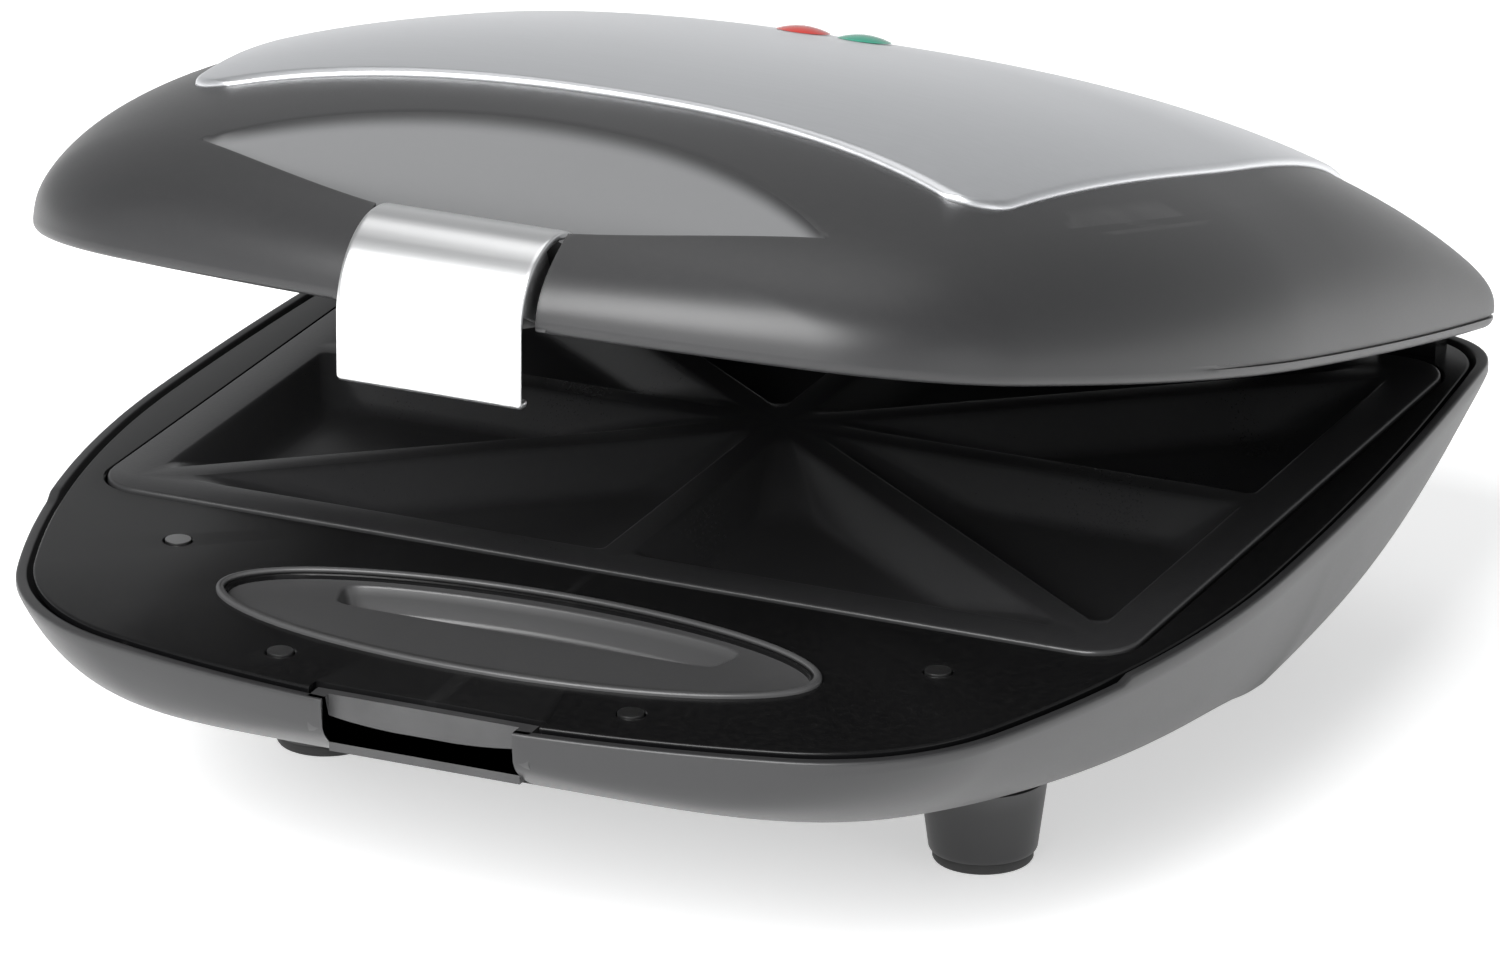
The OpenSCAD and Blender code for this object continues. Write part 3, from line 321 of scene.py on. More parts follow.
# %% Lid dome
DOME_H, LID_EDGE_H, LID_TUCK, WALL = 57.0, 4.0, 2.2, 2.6
CROWN_Y = 38.0


def falloff(t, p, q):
    """(1 - t^p)^(1/q) for t from 0 to 1."""
    return np.maximum(0.0, 1 - np.clip(t, 0, 1) ** p) ** (1 / q)


def dome(x, y):
    """Edge height plus the rise times the falloffs along and across."""
    ahead = falloff((CROWN_Y - y) / (CROWN_Y + FRONT), 2.525, 1.778)
    behind = falloff((y - CROWN_Y) / (REAR - CROWN_Y), 1.759, 2.475)
    along = np.where(y < CROWN_Y, ahead, behind)
    across = falloff(np.abs(x) / half_width(y), 2.568, 2.334)
    return LID_EDGE_H + (DOME_H - LID_EDGE_H) * along * across


SCOOP_REAR, SCOOP_FRONT, SCOOP_END = FRONT - 61.5, FRONT - 12.0, FRONT - 34.0
SCOOP_HALF, SCOOP_DEPTH = 82.0, 12.0


def scoop(x, y):
    """Depth of the crescent: end fade times a lopsided hump between its rear and front edges."""
    b = np.minimum(1.0, (x / SCOOP_HALF) ** 2)
    rear = -SCOOP_REAR - (SCOOP_END - SCOOP_REAR) * b
    front = -SCOOP_FRONT + (SCOOP_FRONT - SCOOP_END) * b
    w = (y - rear) / np.minimum(-1e-3, front - rear)
    inside = (w > 0) & (w < 1) & (b < 1)
    w = np.clip(w, 0, 1)
    return np.where(inside, SCOOP_DEPTH * (1 - b) ** 0.6 * (w / 0.6) ** 1.2 * ((1 - w) / 0.4) ** 0.8, 0.0)


def lid_top(x, y):
    """Dome less scoop."""
    return dome(x, y) - scoop(x, y)


def drawn_in(xy, inset):
    """Plan points pulled towards the middle so that the outline moves in by the inset, or by one at each point."""
    scale = np.stack([(HALF_W - inset) / HALF_W, (HALF_D - inset) / HALF_D], axis=-1)
    return MIDDLE + (xy - MIDDLE) * scale


def on_rays(shares):
    """Points on the rays from the middle to the outline's points, at shares of each ray's length."""
    return MIDDLE + (OUTLINE - MIDDLE) * np.asarray(shares)[..., None]


def plan_rings(steps):
    """The outline shrunk towards the middle by each step, as an array of rings."""
    return on_rays(np.asarray(steps)[:, None])


def at_height(xy, z):
    """Plan points lifted to a height."""
    return np.column_stack([xy, np.full(len(xy), z)])


print("dome height at the crown", float(dome(0.0, CROWN_Y)))

# %% [markdown]
# ## Lid cover
# One closed skin: the dome outside, a rolled lower edge, and a plainer inner skin.
# The slot for the latch roll is then taken out of it.

# %% Lid cover
CLIP_LANE, SLOT_REAR, FAR = 25.2, -151.288, 400.0
GROOVE_DEPTH, GROOVE_START, GROOVE_FADE = 0.9, -62.0, 40.0
SKIRT_TOP = LID_EDGE_H - 1.3


def settle(inner, outer):
    """Halves the step between a share inside the scoop and one outside it until they meet at its edge."""
    for _ in range(26):
        mid = (inner + outer) / 2
        inside = scoop(*on_rays(mid).T) > 0
        inner, outer = np.where(inside, mid, inner), np.where(inside, outer, mid)
    return inner


def scoop_span():
    """For each outline point, where its ray from the middle enters and leaves the scoop, as shares of the ray."""
    share = np.linspace(0.3, 0.98, 900)
    rays = on_rays(share[:, None])
    inside = scoop(rays[..., 0], rays[..., 1]) > 0
    hit = inside.any(axis=0)
    step = share[1] - share[0]
    first, last = share[inside.argmax(axis=0)], share[::-1][inside[::-1].argmax(axis=0)]
    first, last = settle(first, first - step), settle(last, last + step)
    n = len(OUTLINE)
    index = (np.arange(n) + n // 2) % n
    order = np.argsort(index)
    ends = [np.interp(index, index[order][hit[order]], v[order][hit[order]]) for v in (first, last)]
    centre, half = (ends[0] + ends[1]) / 2, np.maximum((ends[1] - ends[0]) / 2, 0.004)
    return centre - half, centre + half


def lid_steps():
    """Ring shares for every outline point: crown, then the scoop with rings packed at its two edges, then the rim."""
    first, last = scoop_span()
    crown = 0.04 + (first - 0.04) * np.linspace(0, 1, 34)[:-1, None]
    hollow = first + (last - first) * (0.5 - 0.5 * np.cos(np.linspace(0, math.pi, 46)))[:, None]
    rim = last + (1 - last) * np.sin(np.linspace(0, math.pi / 2, 44))[1:, None]
    return np.concatenate([crown, hollow, rim])


def side_groove(xy):
    """Depth of the thin groove over the lid's lower edge: none at the front, full along the sides and rear."""
    return GROOVE_DEPTH * smooth_step((xy[:, 1] - GROOVE_START) / GROOVE_FADE)


def lid_skin():
    """Outer rings on the dome, a quarter ellipse round the lower edge, then inner rings a wall lower."""
    plan = on_rays(lid_steps())
    rings = [np.dstack([plan, lid_top(plan[..., 0], plan[..., 1])])]
    for share, low in ((0.0, 0.1), (1.0, 0.25), (1.0, 1.05), (0.0, 1.2)):
        ring = drawn_in(OUTLINE, share * side_groove(OUTLINE))
        rings.append(at_height(ring, LID_EDGE_H - low)[None])
    for turn in np.linspace(0.2, 1.0, 6) * math.pi / 2:
        flat = drawn_in(OUTLINE, LID_TUCK * (1 - math.cos(turn)))
        rings.append(at_height(flat, SKIRT_TOP * (1 - math.sin(turn)))[None])
    rings.append(at_height(drawn_in(OUTLINE, LID_TUCK + WALL), 0.0)[None])
    plan = plan_rings([0.985, 0.95, 0.9, 0.84, 0.76, 0.66, 0.52, 0.36, 0.18])
    inner = np.maximum(LID_EDGE_H / 2, lid_top(plan[..., 0], plan[..., 1]) - WALL)
    rings.append(np.dstack([drawn_in(plan, WALL), inner]))
    crown = float(lid_top(0.0, MID_Y))
    points, faces = ring_skin(np.concatenate(rings), [0, MID_Y, crown], [0, MID_Y, crown - WALL])
    return points + LID_AT, faces


points, faces = lid_skin()
lid_cover = make_piece("lid_cover", lid_pose(points), faces, "lid", ["lid_housing"], "housing", sharp=50)
cut(lid_cover, [box_mesh((-CLIP_LANE, -FAR, -FAR), (CLIP_LANE, SLOT_REAR, FAR), lid_pose)], sharp=50)


def scoop_light_mask(obj):
    """Stores on each point how deep in the scoop it lies, from 0 outside to 1 over most of the scoop: the mask by which
    the lid's material paints light into the scoop.
    """
    x, y, z = mesh_points(obj.data).astype(float).T / MM
    shut_y = HINGE_Y + (y - HINGE_Y) * math.cos(LID_OPEN) - (z - HINGE_Z) * math.sin(LID_OPEN)
    depth = scoop(x, shut_y - WIDEST_Y) / SCOOP_DEPTH
    layer = obj.data.attributes.new("hollow", "FLOAT", "POINT")
    layer.data.foreach_set("value", smooth_step(depth * 4.0).astype(np.float32))


# The scoop's mask for its painted highlight.
scoop_light_mask(lid_cover)
print("lid cover:", len(lid_cover.data.polygons), "faces")

# %% [markdown]
# ## Liner of the latch slot
# Two side walls and a rear wall close the slot. Their top edges follow the dome.


# %% Slot liner
def prism(profile, x0, x1, pose):
    """A closed profile of (y, z) points carried along X, with both ends closed."""
    n = len(profile)
    ends = np.concatenate([np.column_stack([np.full(n, x), profile]) for x in (x0, x1)])
    i = np.arange(n)
    sides = np.stack([i, (i + 1) % n, (i + 1) % n + n, i + n], axis=-1)
    return pose(ends) if pose else ends, [sides, i[None, ::-1], i[None] + n]


def prism_piece(name, parts, body, slot, pose=None):
    """Several prisms in one mesh, each from a profile and its two ends along X."""
    points, faces = joined([prism(*part, pose) for part in parts])
    return make_piece(name, points, faces, body, [], slot)


SLOT_FRONT, LINER_LOW = -166.5, LID_Z + 0.4


def liner_profile(x):
    """Side wall of the slot: a lower edge at the lid's edge and an upper edge just inside the dome."""
    y = np.linspace(SLOT_FRONT, SLOT_REAR + WALL - WIDEST_Y, 30)
    top = LID_Z + lid_top(x, y) - 1.2
    upper = np.column_stack([y + WIDEST_Y, np.maximum(top, LID_Z + 1.5)])
    return np.concatenate([[[upper[0, 0], LINER_LOW]], upper, [[upper[-1, 0], LINER_LOW]]])


rear_top = LID_Z + float(lid_top(0.0, SLOT_REAR - WIDEST_Y)) - 1.5
rear_wall = [(SLOT_REAR, LINER_LOW), (SLOT_REAR, rear_top), (SLOT_REAR + WALL, rear_top), (SLOT_REAR + WALL, LINER_LOW)]
side_wall = liner_profile(CLIP_LANE + WALL)
prism_piece("slot_liner", [
    (side_wall, CLIP_LANE, CLIP_LANE + WALL), (side_wall, -CLIP_LANE - WALL, -CLIP_LANE),
    (rear_wall, -CLIP_LANE - 1, CLIP_LANE + 1)], "lid", "housing", lid_pose)
print("slot liner: depth", round(SLOT_REAR + FRONT - WIDEST_Y, 1), "mm")

# %% [markdown]
# ## Metal panel
# The panel is a patch of the dome itself, lifted by its own thickness, with round corners
# and a bevelled rim. The rim catches the light as a bright line.

# %% Metal panel
PANEL_HALF_W, PANEL_BACK, PANEL_REAR, PANEL_CORNER = 107.0, 72.0, 26.0, 12.0
PANEL_FLARE, PANEL_BOW = 13.0, 14.0
PANEL_L = FRONT + REAR - PANEL_BACK - PANEL_REAR


def panel_patch(inset, lift, rows, cols):
    """Width: front width plus a half sine of the flare. The front edge bows back by the bow times 1 - across^2."""
    near = np.array([0, 0.1, 0.3, 0.6, 1.0, 1.6, 2.4, 3.4, 4.6, 6.0, 7.7, 9.6, 12.0])
    between = np.linspace(near[-1], PANEL_L - near[-1], rows)[1:-1]
    d = np.concatenate([near, between, PANEL_L - near[::-1]])
    d = inset + d / PANEL_L * (PANEL_L - 2 * inset)
    into = PANEL_CORNER - np.minimum(np.minimum(d, PANEL_L - d), PANEL_CORNER)
    short = PANEL_CORNER - np.sqrt(np.maximum(0, PANEL_CORNER**2 - into**2))
    w = PANEL_HALF_W + PANEL_FLARE * np.sin(math.pi * d / PANEL_L) - inset - short
    across = np.linspace(-1, 1, cols)[None]
    x = w[:, None] * across
    y = (-FRONT + PANEL_BACK + d)[:, None] + PANEL_BOW * (1 - across**2) * (1 - d / PANEL_L)[:, None]
    return np.dstack([x, y, lid_top(x, y) + lift])


def border(rows, cols):
    """Point numbers round the edge of a grid, in order."""
    i = np.arange(rows * cols).reshape(rows, cols)
    return np.concatenate([i[0, :-1], i[:-1, -1], i[-1, :0:-1], i[:0:-1, 0]])


def metal_panel():
    """The top patch, then its border carried down over a rounded bevel to the housing."""
    top, *bevel = [panel_patch(inset, lift, 78, 96) for inset, lift in
                   ((1.6, 2.0), (1.1, 1.95), (0.6, 1.75), (0.2, 1.35), (0.0, 0.9), (0.0, -0.4))]
    rows, cols = top.shape[:2]
    edge = border(rows, cols)
    n, start = len(edge), rows * cols
    points = np.concatenate([top.reshape(-1, 3)] + [ring.reshape(-1, 3)[edge] for ring in bevel])
    below = start + np.arange(n)
    first = np.stack([edge, np.roll(edge, -1), np.roll(below, -1), below], axis=-1)
    return points + LID_AT, [
        grid_faces(rows, cols), first, grid_faces(len(bevel), n, start, wrap=True)]


points, faces = metal_panel()
panel = make_piece("metal_panel", lid_pose(points), faces, "lid", ["lid_panel"], "panel_metal", sharp=60)
panel.modifiers.new("back", "SOLIDIFY").thickness = 0.6 * MM
print("panel:", len(panel.data.polygons), "faces")

# %% [markdown]
# ## Latch clip
# A springy strap bent over a roll, with a straight tail and a hooked lip. Its section is
# a strip of even thickness along a centre line, and the strip thins towards its two
# side edges so that they read as rounded.

# %% Latch clip
LATCH_Y, LATCH_Z = -164.5, 76.0
CLIP_R, CLIP_T, CLIP_W = 20.5, 2.0, 48.0
BEND_R, BOSS_R, LIP_BEND_R = CLIP_R - CLIP_T / 2, 3.4, 1.6
TAIL_A, TOP_A, CLIP_TAIL, LIP_L = math.radians(-15), math.radians(100), 17.0, 4.76


def clip_centre_line():
    """Arc about the latch axis, a straight tail down, a small bend and the lip back towards the base."""
    a = np.linspace(TOP_A, TAIL_A, 72)
    arc = np.column_stack([-BEND_R * np.cos(a), BEND_R * np.sin(a)])
    down = np.array([-math.sin(TAIL_A), -math.cos(TAIL_A)])
    back = np.array([math.cos(TAIL_A), -math.sin(TAIL_A)])
    tail_end = arc[-1] + down * (CLIP_TAIL - CLIP_T / 2 - LIP_BEND_R)
    tail = arc[-1] + (tail_end - arc[-1]) * np.linspace(0, 1, 12)[1:, None]
    turn = np.linspace(0, math.pi / 2, 8)[1:, None]
    centre = tail_end + back * LIP_BEND_R
    bend = centre - back * LIP_BEND_R * np.cos(turn) + down * LIP_BEND_R * np.sin(turn)
    lip = bend[-1] + back * (LIP_L - LIP_BEND_R - CLIP_T) * np.linspace(0, 1, 4)[1:, None]
    return np.concatenate([arc, tail, bend, lip])


def clip_strap():
    """The strip's loop of points at each station across the clip."""
    line = clip_centre_line()
    ahead = np.gradient(line, axis=0)
    ahead /= np.linalg.norm(ahead, axis=1)[:, None]
    side = np.column_stack([ahead[:, 1], -ahead[:, 0]])
    half = CLIP_T / 2
    inset = np.array([0.0, 0.12, 0.4, 0.9])
    thick = np.array([0.35, 0.7, 0.93, 1.0])
    flat = np.linspace(-CLIP_W / 2 + 1.5, CLIP_W / 2 - 1.5, 12)
    x = np.concatenate([-CLIP_W / 2 + inset, flat, CLIP_W / 2 - inset[::-1]])
    t = np.concatenate([thick, np.ones(len(flat)), thick[::-1]])
    rings = []
    for xi, ti in zip(x, t, strict=True):
        h = half * ti
        turn = np.linspace(0, math.pi, 7)[1:-1, None]
        far_cap = line[-1] + h * (side[-1] * np.cos(turn) + ahead[-1] * np.sin(turn))
        near_cap = line[0] - h * (side[0] * np.cos(turn) + ahead[0] * np.sin(turn))
        loop = np.concatenate([line + h * side, far_cap, (line - h * side)[::-1], near_cap])
        rings.append(np.column_stack([np.full(len(loop), xi), loop]))
    return np.stack(rings)


strap = clip_strap()
points = strap.reshape(-1, 3) + np.array([0, LATCH_Y, LATCH_Z])
faces = [grid_faces(*strap.shape[:2], wrap=True)]
clip = make_piece("latch_strap", lid_pose(points), faces, "latch", ["latch_clip"], "clip_metal", sharp=50)
edit_mesh(clip.data, lambda work: bmesh.ops.holes_fill(work, edges=[e for e in work.edges if e.is_boundary]))
clip.data.set_sharp_from_angle(angle=math.radians(50))

boss_turns, bend_turns = np.radians(np.arange(255, 90, -15)), np.radians(np.arange(60, 4, -5.5))
cheek = np.concatenate([
    np.column_stack([-r * np.cos(turns), r * np.sin(turns)])
    for r, turns in ((BOSS_R, boss_turns), (BEND_R, bend_turns))]) + np.array([LATCH_Y, LATCH_Z])
cheek_out, cheek_in = CLIP_W / 2 - 0.3, CLIP_W / 2 - CLIP_T
prism_piece("latch_cheeks", [(cheek, cheek_in, cheek_out), (cheek, -cheek_out, -cheek_in)],
            "latch", "clip_metal", lid_pose)
print("latch clip:", len(clip.data.polygons), "faces")

# %% [markdown]
# ## Base bowl
# The base is a dish: a short upright band under the rim, a long shallow sweep towards the
# front and fuller sides and rear. At the front the rim drops a little, and the deck's
# black edge shows over it.

# %% Base bowl
BOWL_DEPTH, RIM_DROP = 54.0, 1.3
DROP_Y, DEEP_Y = -89.0, 34.0


def bowl(x, y):
    """Soft minimum of the product of two falloffs and the full depth."""
    ahead = falloff((DEEP_Y - y) / (DEEP_Y + FRONT), 0.625, 2.34)
    behind = falloff((y - DEEP_Y) / (REAR - DEEP_Y), 4, 2)
    along = np.where(y < DEEP_Y, ahead, behind)
    raw = 3 + 62.5 * along * falloff(np.abs(x) / half_width(y), 8, 1.04)
    return (raw**-12.0 + BOWL_DEPTH**-12.0) ** (-1 / 12)


def rim_drop(xy):
    """How far the rim lies under its full height: none at the sides, all at the front."""
    return RIM_DROP * smooth_step((DROP_Y - WIDEST_Y - xy[:, 1]) / 2.5 + 0.5)


def base_skin():
    """Inner rings, the rim with rounded edges, then outer rings down the bowl to its middle."""
    plan = plan_rings([0.2, 0.4, 0.58, 0.72, 0.82, 0.9, 0.95, 0.985])
    depth = np.maximum(0.2, bowl(plan[..., 0], plan[..., 1]) - WALL)
    rings = [np.dstack([drawn_in(plan, WALL), -depth])]
    drop = rim_drop(OUTLINE)
    for inset, low in ((WALL, 0.4), (WALL - 0.1, 0.12), (WALL - 0.4, 0.0), (0.7, 0.0), (0.3, 0.1), (0.08, 0.34),
                       (0.0, 0.8)):
        rings.append(np.dstack([drawn_in(OUTLINE, inset)[None], (-low - drop)[None]]))
    plan = plan_rings(np.concatenate([
        [1.0], np.linspace(0.996, 0.84, 34), np.linspace(0.83, 0.5, 30), np.linspace(0.46, 0.06, 12)]))
    rings.append(np.dstack([plan, -bowl(plan[..., 0], plan[..., 1])]))
    depth = float(bowl(0.0, MID_Y))
    points, faces = ring_skin(np.concatenate(rings), [0, MID_Y, WALL - depth], [0, MID_Y, -depth])
    return points + np.array([0, WIDEST_Y, RIM_Z]), faces


CHANNEL_Y, NOTCH_BACK, LEDGE_Z = -174.8, -166.8, 55.99
MODEL_FRONT = -179.0
points, faces = base_skin()
base_cover = make_piece("base_cover", points, faces, "base", ["base_housing"], "housing", sharp=50)
cut(base_cover, [box_mesh((-CLIP_LANE, -FAR, LEDGE_Z - 20), (CLIP_LANE, CHANNEL_Y, FAR)),
                 box_mesh((-CLIP_LANE, -FAR, 0.0), (CLIP_LANE, NOTCH_BACK, LEDGE_Z))], sharp=50)
hold_behind(base_cover, MODEL_FRONT)


def skin_under(y, x, lift=0.3):
    """Height of the bowl's outer skin at a place, lifted a little."""
    return RIM_Z - bowl(x, y - WIDEST_Y) + lift


shelf_back, notch_wall, shelf_z, channel_top = CHANNEL_Y + WALL, NOTCH_BACK + WALL, 68.1, RIM_Z - RIM_DROP
side_front = -178.2
back_y = np.array([NOTCH_BACK, notch_wall])
rear_edge = [(notch_wall, shelf_z), (shelf_back, shelf_z), (shelf_back, channel_top)]
ledge = [(CHANNEL_Y, channel_top), (CHANNEL_Y, LEDGE_Z), (NOTCH_BACK, LEDGE_Z)]
ledge += list(zip(back_y, skin_under(back_y, 0.0), strict=True)) + rear_edge
side_y = np.linspace(side_front, notch_wall, 24)
side = list(zip(side_y, skin_under(side_y, CLIP_LANE), strict=True)) + rear_edge + [(side_front, channel_top)]
side_x = CLIP_LANE + 4.0
prism_piece("channel_wall", [
    (ledge, -CLIP_LANE, CLIP_LANE), (side, CLIP_LANE, side_x), (side, -side_x, -CLIP_LANE)], "base", "housing")
print("base cover:", len(base_cover.data.polygons), "faces after the channel is cut")

# %% [markdown]
# ## Stacked loops
# Several pieces are a stack of closed loops with the same count of points, closed at both
# ends or at the last alone. Rounded edges come from loops that move in and up together.


# %% Stacked loops
def stack(loops):
    """A skin closed at both ends, with each tip at the middle of its loop."""
    loops = np.asarray(loops, float)
    return ring_skin(loops, loops[0].mean(0), loops[-1].mean(0))


def dish(loops):
    """A skin closed at its last loop alone."""
    return ring_skin(loops, last=loops[-1].mean(0))


def round_corners(corners, inset, radius, n_side, n_corner):
    """A convex polygon, anticlockwise, moved inwards and rounded: straight sides and arcs tangent to them."""
    p = np.asarray(corners, float)
    ahead = np.roll(p, -1, axis=0) - p
    ahead /= np.linalg.norm(ahead, axis=1)[:, None]
    inward = np.column_stack([-ahead[:, 1], ahead[:, 0]])
    behind = np.roll(inward, 1, axis=0)
    opening = 1 + (inward * behind).sum(1)
    centre = p + (inset + radius) * (inward + behind) / opening[:, None]
    start = np.arctan2(-behind[:, 1], -behind[:, 0])
    end = np.arctan2(-inward[:, 1], -inward[:, 0])
    end = np.where(end < start, end + 2 * math.pi, end)
    arcs = start[:, None] + (end - start)[:, None] * np.linspace(0, 1, n_corner)
    arc = centre[:, None] + radius * np.dstack([np.cos(arcs), np.sin(arcs)])
    t = np.linspace(0, 1, n_side + 1)[1:-1, None]
    sides = arc[:, -1:] * (1 - t) + np.roll(arc[:, :1], -1, axis=0) * t
    return np.concatenate([arc, sides], axis=1).reshape(-1, 2)


def rectangle(w, d, cx=0.0, cy=0.0):
    """Corners of a rectangle, anticlockwise from the lower right."""
    return np.array([[w, -d], [w, d], [-w, d], [-w, -d]]) / 2 + np.array([cx, cy])


def ellipse(cx, cy, a, b, n):
    """Points round an ellipse."""
    t = np.linspace(0, 2 * math.pi, n, endpoint=False)
    return np.column_stack([cx + a * np.cos(t), cy + b * np.sin(t)])


# %% [markdown]
# ## Deck
# The base's deck is a glossy black plate with a rounded edge. It is cut for the baking
# plate, the tray and the latch channel. Each hole has a small chamfer.

# %% Deck
DECK_Z, DECK_T, DECK_INSET = 71.6, 2.5, 3.9
PLATE_W, PLATE_D, PLATE_R, PLATE_Y, PLATE_GAP = 278.0, 218.0, 12.0, 30.0, 0.6
TRAY_Y, TRAY_A, TRAY_B, TRAY_REST = -124.0, 80.0, 27.0, 3.0
REACH, RECESS_R, RECESS_DEPTH = 5, 3.6, 1.2
DECK_LANE_BACK, FRAME_LANE_BACK = -170.9, -147.4


def slab_loops(inset, low, high, edge=0.7):
    """The outline as a plate between two heights, its upper and lower edges rounded."""
    loops = []
    for face, way, turns in ((low, 1, np.linspace(0, math.pi / 2, 5)), (high, -1, np.linspace(math.pi / 2, 0, 5))):
        for turn in turns:
            flat = drawn_in(OUTLINE, inset + edge * (1 - math.sin(turn)))
            loops.append(at_height(flat, face + way * edge * (1 - math.cos(turn))))
    return np.stack(loops) + np.array([0, WIDEST_Y, 0])


def cutter(loop_of, low, high, chamfer, up=True, pose=None):
    """Points and faces for `cut`: a hole's solid that flares by the chamfer towards the face that shows."""
    levels = [(low - REACH, 0), (high - chamfer, 0), (high + REACH, chamfer + REACH)] if up else \
        [(low - REACH, chamfer + REACH), (low + chamfer, 0), (high + REACH, 0)]
    points, sets = stack([at_height(loop_of(grow), z) for z, grow in levels])
    return pose(points) if pose else points, flat_list(sets)


def plate_hole(grow):
    """The baking plate's outline with a gap round it, grown."""
    hole = rectangle(PLATE_W + 2 * PLATE_GAP, PLATE_D + 2 * PLATE_GAP, 0, PLATE_Y)
    return round_corners(hole, -grow, PLATE_R + PLATE_GAP + grow, 12, 14)


def tray_hole(grow):
    """The tray's oval less the ledge that it rests on, grown."""
    return ellipse(0, TRAY_Y, TRAY_A - TRAY_REST + grow, TRAY_B - TRAY_REST + grow, 96)


def screw_recess(x, y):
    """A shallow round recess for a screw's head. The cutter reaches past its lower level, so that starts higher."""
    low = DECK_Z - RECESS_DEPTH + REACH
    return cutter(lambda grow: ellipse(x, y, RECESS_R + grow, RECESS_R + grow, 32), low, DECK_Z, 0.35)


points, faces = stack(slab_loops(DECK_INSET, DECK_Z - DECK_T, DECK_Z))
deck = make_piece("deck_plate", points, faces, "base", ["base_frame"], "deck_black", sharp=40)
lane = CLIP_LANE + 5.3
cut(deck, [
    cutter(plate_hole, DECK_Z - DECK_T, DECK_Z, 0.5),
    cutter(tray_hole, DECK_Z - DECK_T, DECK_Z, 0.3),
    box_mesh((-lane, -FAR, 0.0), (lane, DECK_LANE_BACK, FAR)),
] + [screw_recess(side * x, y) for x, y in ((102.0, -103.5), (46.5, -158.0), (100.0, 147.0)) for side in (1, -1)],
    sharp=40)
print("deck:", len(deck.data.polygons), "faces")

FRAME_LOW, FRAME_HIGH, FRAME_REAR, HINGE_GAP_X = 73.8, 76.3, 141.6, 114.0
points, faces = stack(slab_loops(6.1, FRAME_LOW, FRAME_HIGH))
upper_deck = make_piece("lid_frame_plate", lid_pose(points), faces, "lid", ["upper_frame"], "deck_black", sharp=40)
lane = CLIP_LANE + 3.9
cut(upper_deck, [
    cutter(plate_hole, FRAME_LOW, FRAME_HIGH, 0.5, False, lid_pose),
    box_mesh((-lane, -FAR, -FAR), (lane, FRAME_LANE_BACK, FAR), lid_pose),
    box_mesh((HINGE_GAP_X, FRAME_REAR, -FAR), (FAR, FAR, FAR), lid_pose),
    box_mesh((-FAR, FRAME_REAR, -FAR), (-HINGE_GAP_X, FAR, FAR), lid_pose),
], sharp=40)
lug = round_corners([[143.0, 70.6], [151.0, 70.6], [151.0, 76.6], [143.0, 76.6]], 0, 1.2, 2, 6)
prism_piece("deck_lugs", [(lug, 116.0, 132.0), (lug, -132.0, -116.0)], "base", "deck_black")

# %% [markdown]
# ## Baking plates
# A plate is four cells in two rows. A diagonal rib splits each cell into two triangular
# pockets. Every pocket is a nest of rounded triangles: flat rib, rounded shoulder,
# leaning wall, rounded foot and flat floor. The same plate, turned over, is in the lid.

# %% Baking plates
PLATE_Z, LID_PLATE_Z = 72.4, 73.0
CELL_W, CELL_D = 131.0, 101.0
NESTS = [(0.0, 0.0, 0.0), (3.2, 1.6, 0.0), (3.6, 2.0, 0.06), (4.1, 2.6, 0.3), (4.6, 3.2, 0.75), (5.1, 3.8, 1.35),
         (6.6, 5.0, 3.4), (8.6, 6.6, 6.1), (10.4, 7.8, 8.6), (11.2, 8.4, 9.6), (12.0, 9.0, 10.3), (13.0, 9.8, 10.78),
         (14.2, 10.6, 11.0), (19.0, 11.0, 11.0)]


def pocket_nest(corners, n_side=14, n_corner=9):
    """Rounded triangles from the rib line to the floor as (points, faces)."""
    return dish(np.stack([at_height(round_corners(corners, i, r, n_side, n_corner), -d) for i, r, d in NESTS]))


def plate_rim(n_side=28):
    """From the cells' outer rectangle to the plate's rounded edge and down round it."""
    loops = [at_height(round_corners(rectangle(2 * CELL_W, 2 * CELL_D), 0, 0, n_side, 9), 0.0)]
    for inset, low in ((0.9, 0.0), (0.55, 0.08), (0.26, 0.26), (0.08, 0.55), (0.0, 0.9), (0.0, 2.4)):
        loops.append(at_height(round_corners(rectangle(PLATE_W, PLATE_D), inset, PLATE_R - inset, n_side, 9), -low))
    grid = np.stack(loops)
    return grid.reshape(-1, 3), [grid_faces(*grid.shape[:2], wrap=True)]


def baking_plate():
    """Eight pocket nests and the rim in one surface."""
    side = np.array([[0, 0], [CELL_W, 0], [CELL_W, CELL_D]])
    end = np.array([[0, 0], [CELL_W, CELL_D], [0, CELL_D]])
    parts = [plate_rim()]
    for sx in (1, -1):
        for sy in (1, -1):
            for tri in (side, end):
                corners = tri * np.array([sx, sy])
                parts.append(pocket_nest(corners[::-1] if sx * sy < 0 else corners))
    return joined(parts)


def plate_piece(name, body, node, place):
    """The plate's surface, thickened downwards so that it is a closed casting."""
    points, faces = baking_plate()
    obj = make_piece(name, place(points), faces, body, [node], "plate_coating", sharp=60)
    thick = obj.modifiers.new("casting", "SOLIDIFY")
    thick.thickness = 1.6 * MM
    thick.offset = -1.0
    return obj


def upright(p):
    """Onto the base."""
    return p + np.array([0, PLATE_Y, PLATE_Z])


def turned_over(p):
    """Into the lid: heights change sign and the plate turns with the lid."""
    return lid_pose(p * np.array([1, 1, -1]) + np.array([0, PLATE_Y, LID_PLATE_Z]))


lower_plate = plate_piece("lower_baking_plate", "base", "lower_plate", upright)
plate_piece("upper_baking_plate", "lid", "upper_plate", turned_over)
print("baking plate:", len(lower_plate.data.polygons), "faces")

# %% [markdown]
# ## Tray
# An oval dish with a raised lip sits in the deck ahead of the plate. A trapezoid finger
# pocket sinks into its rear half.

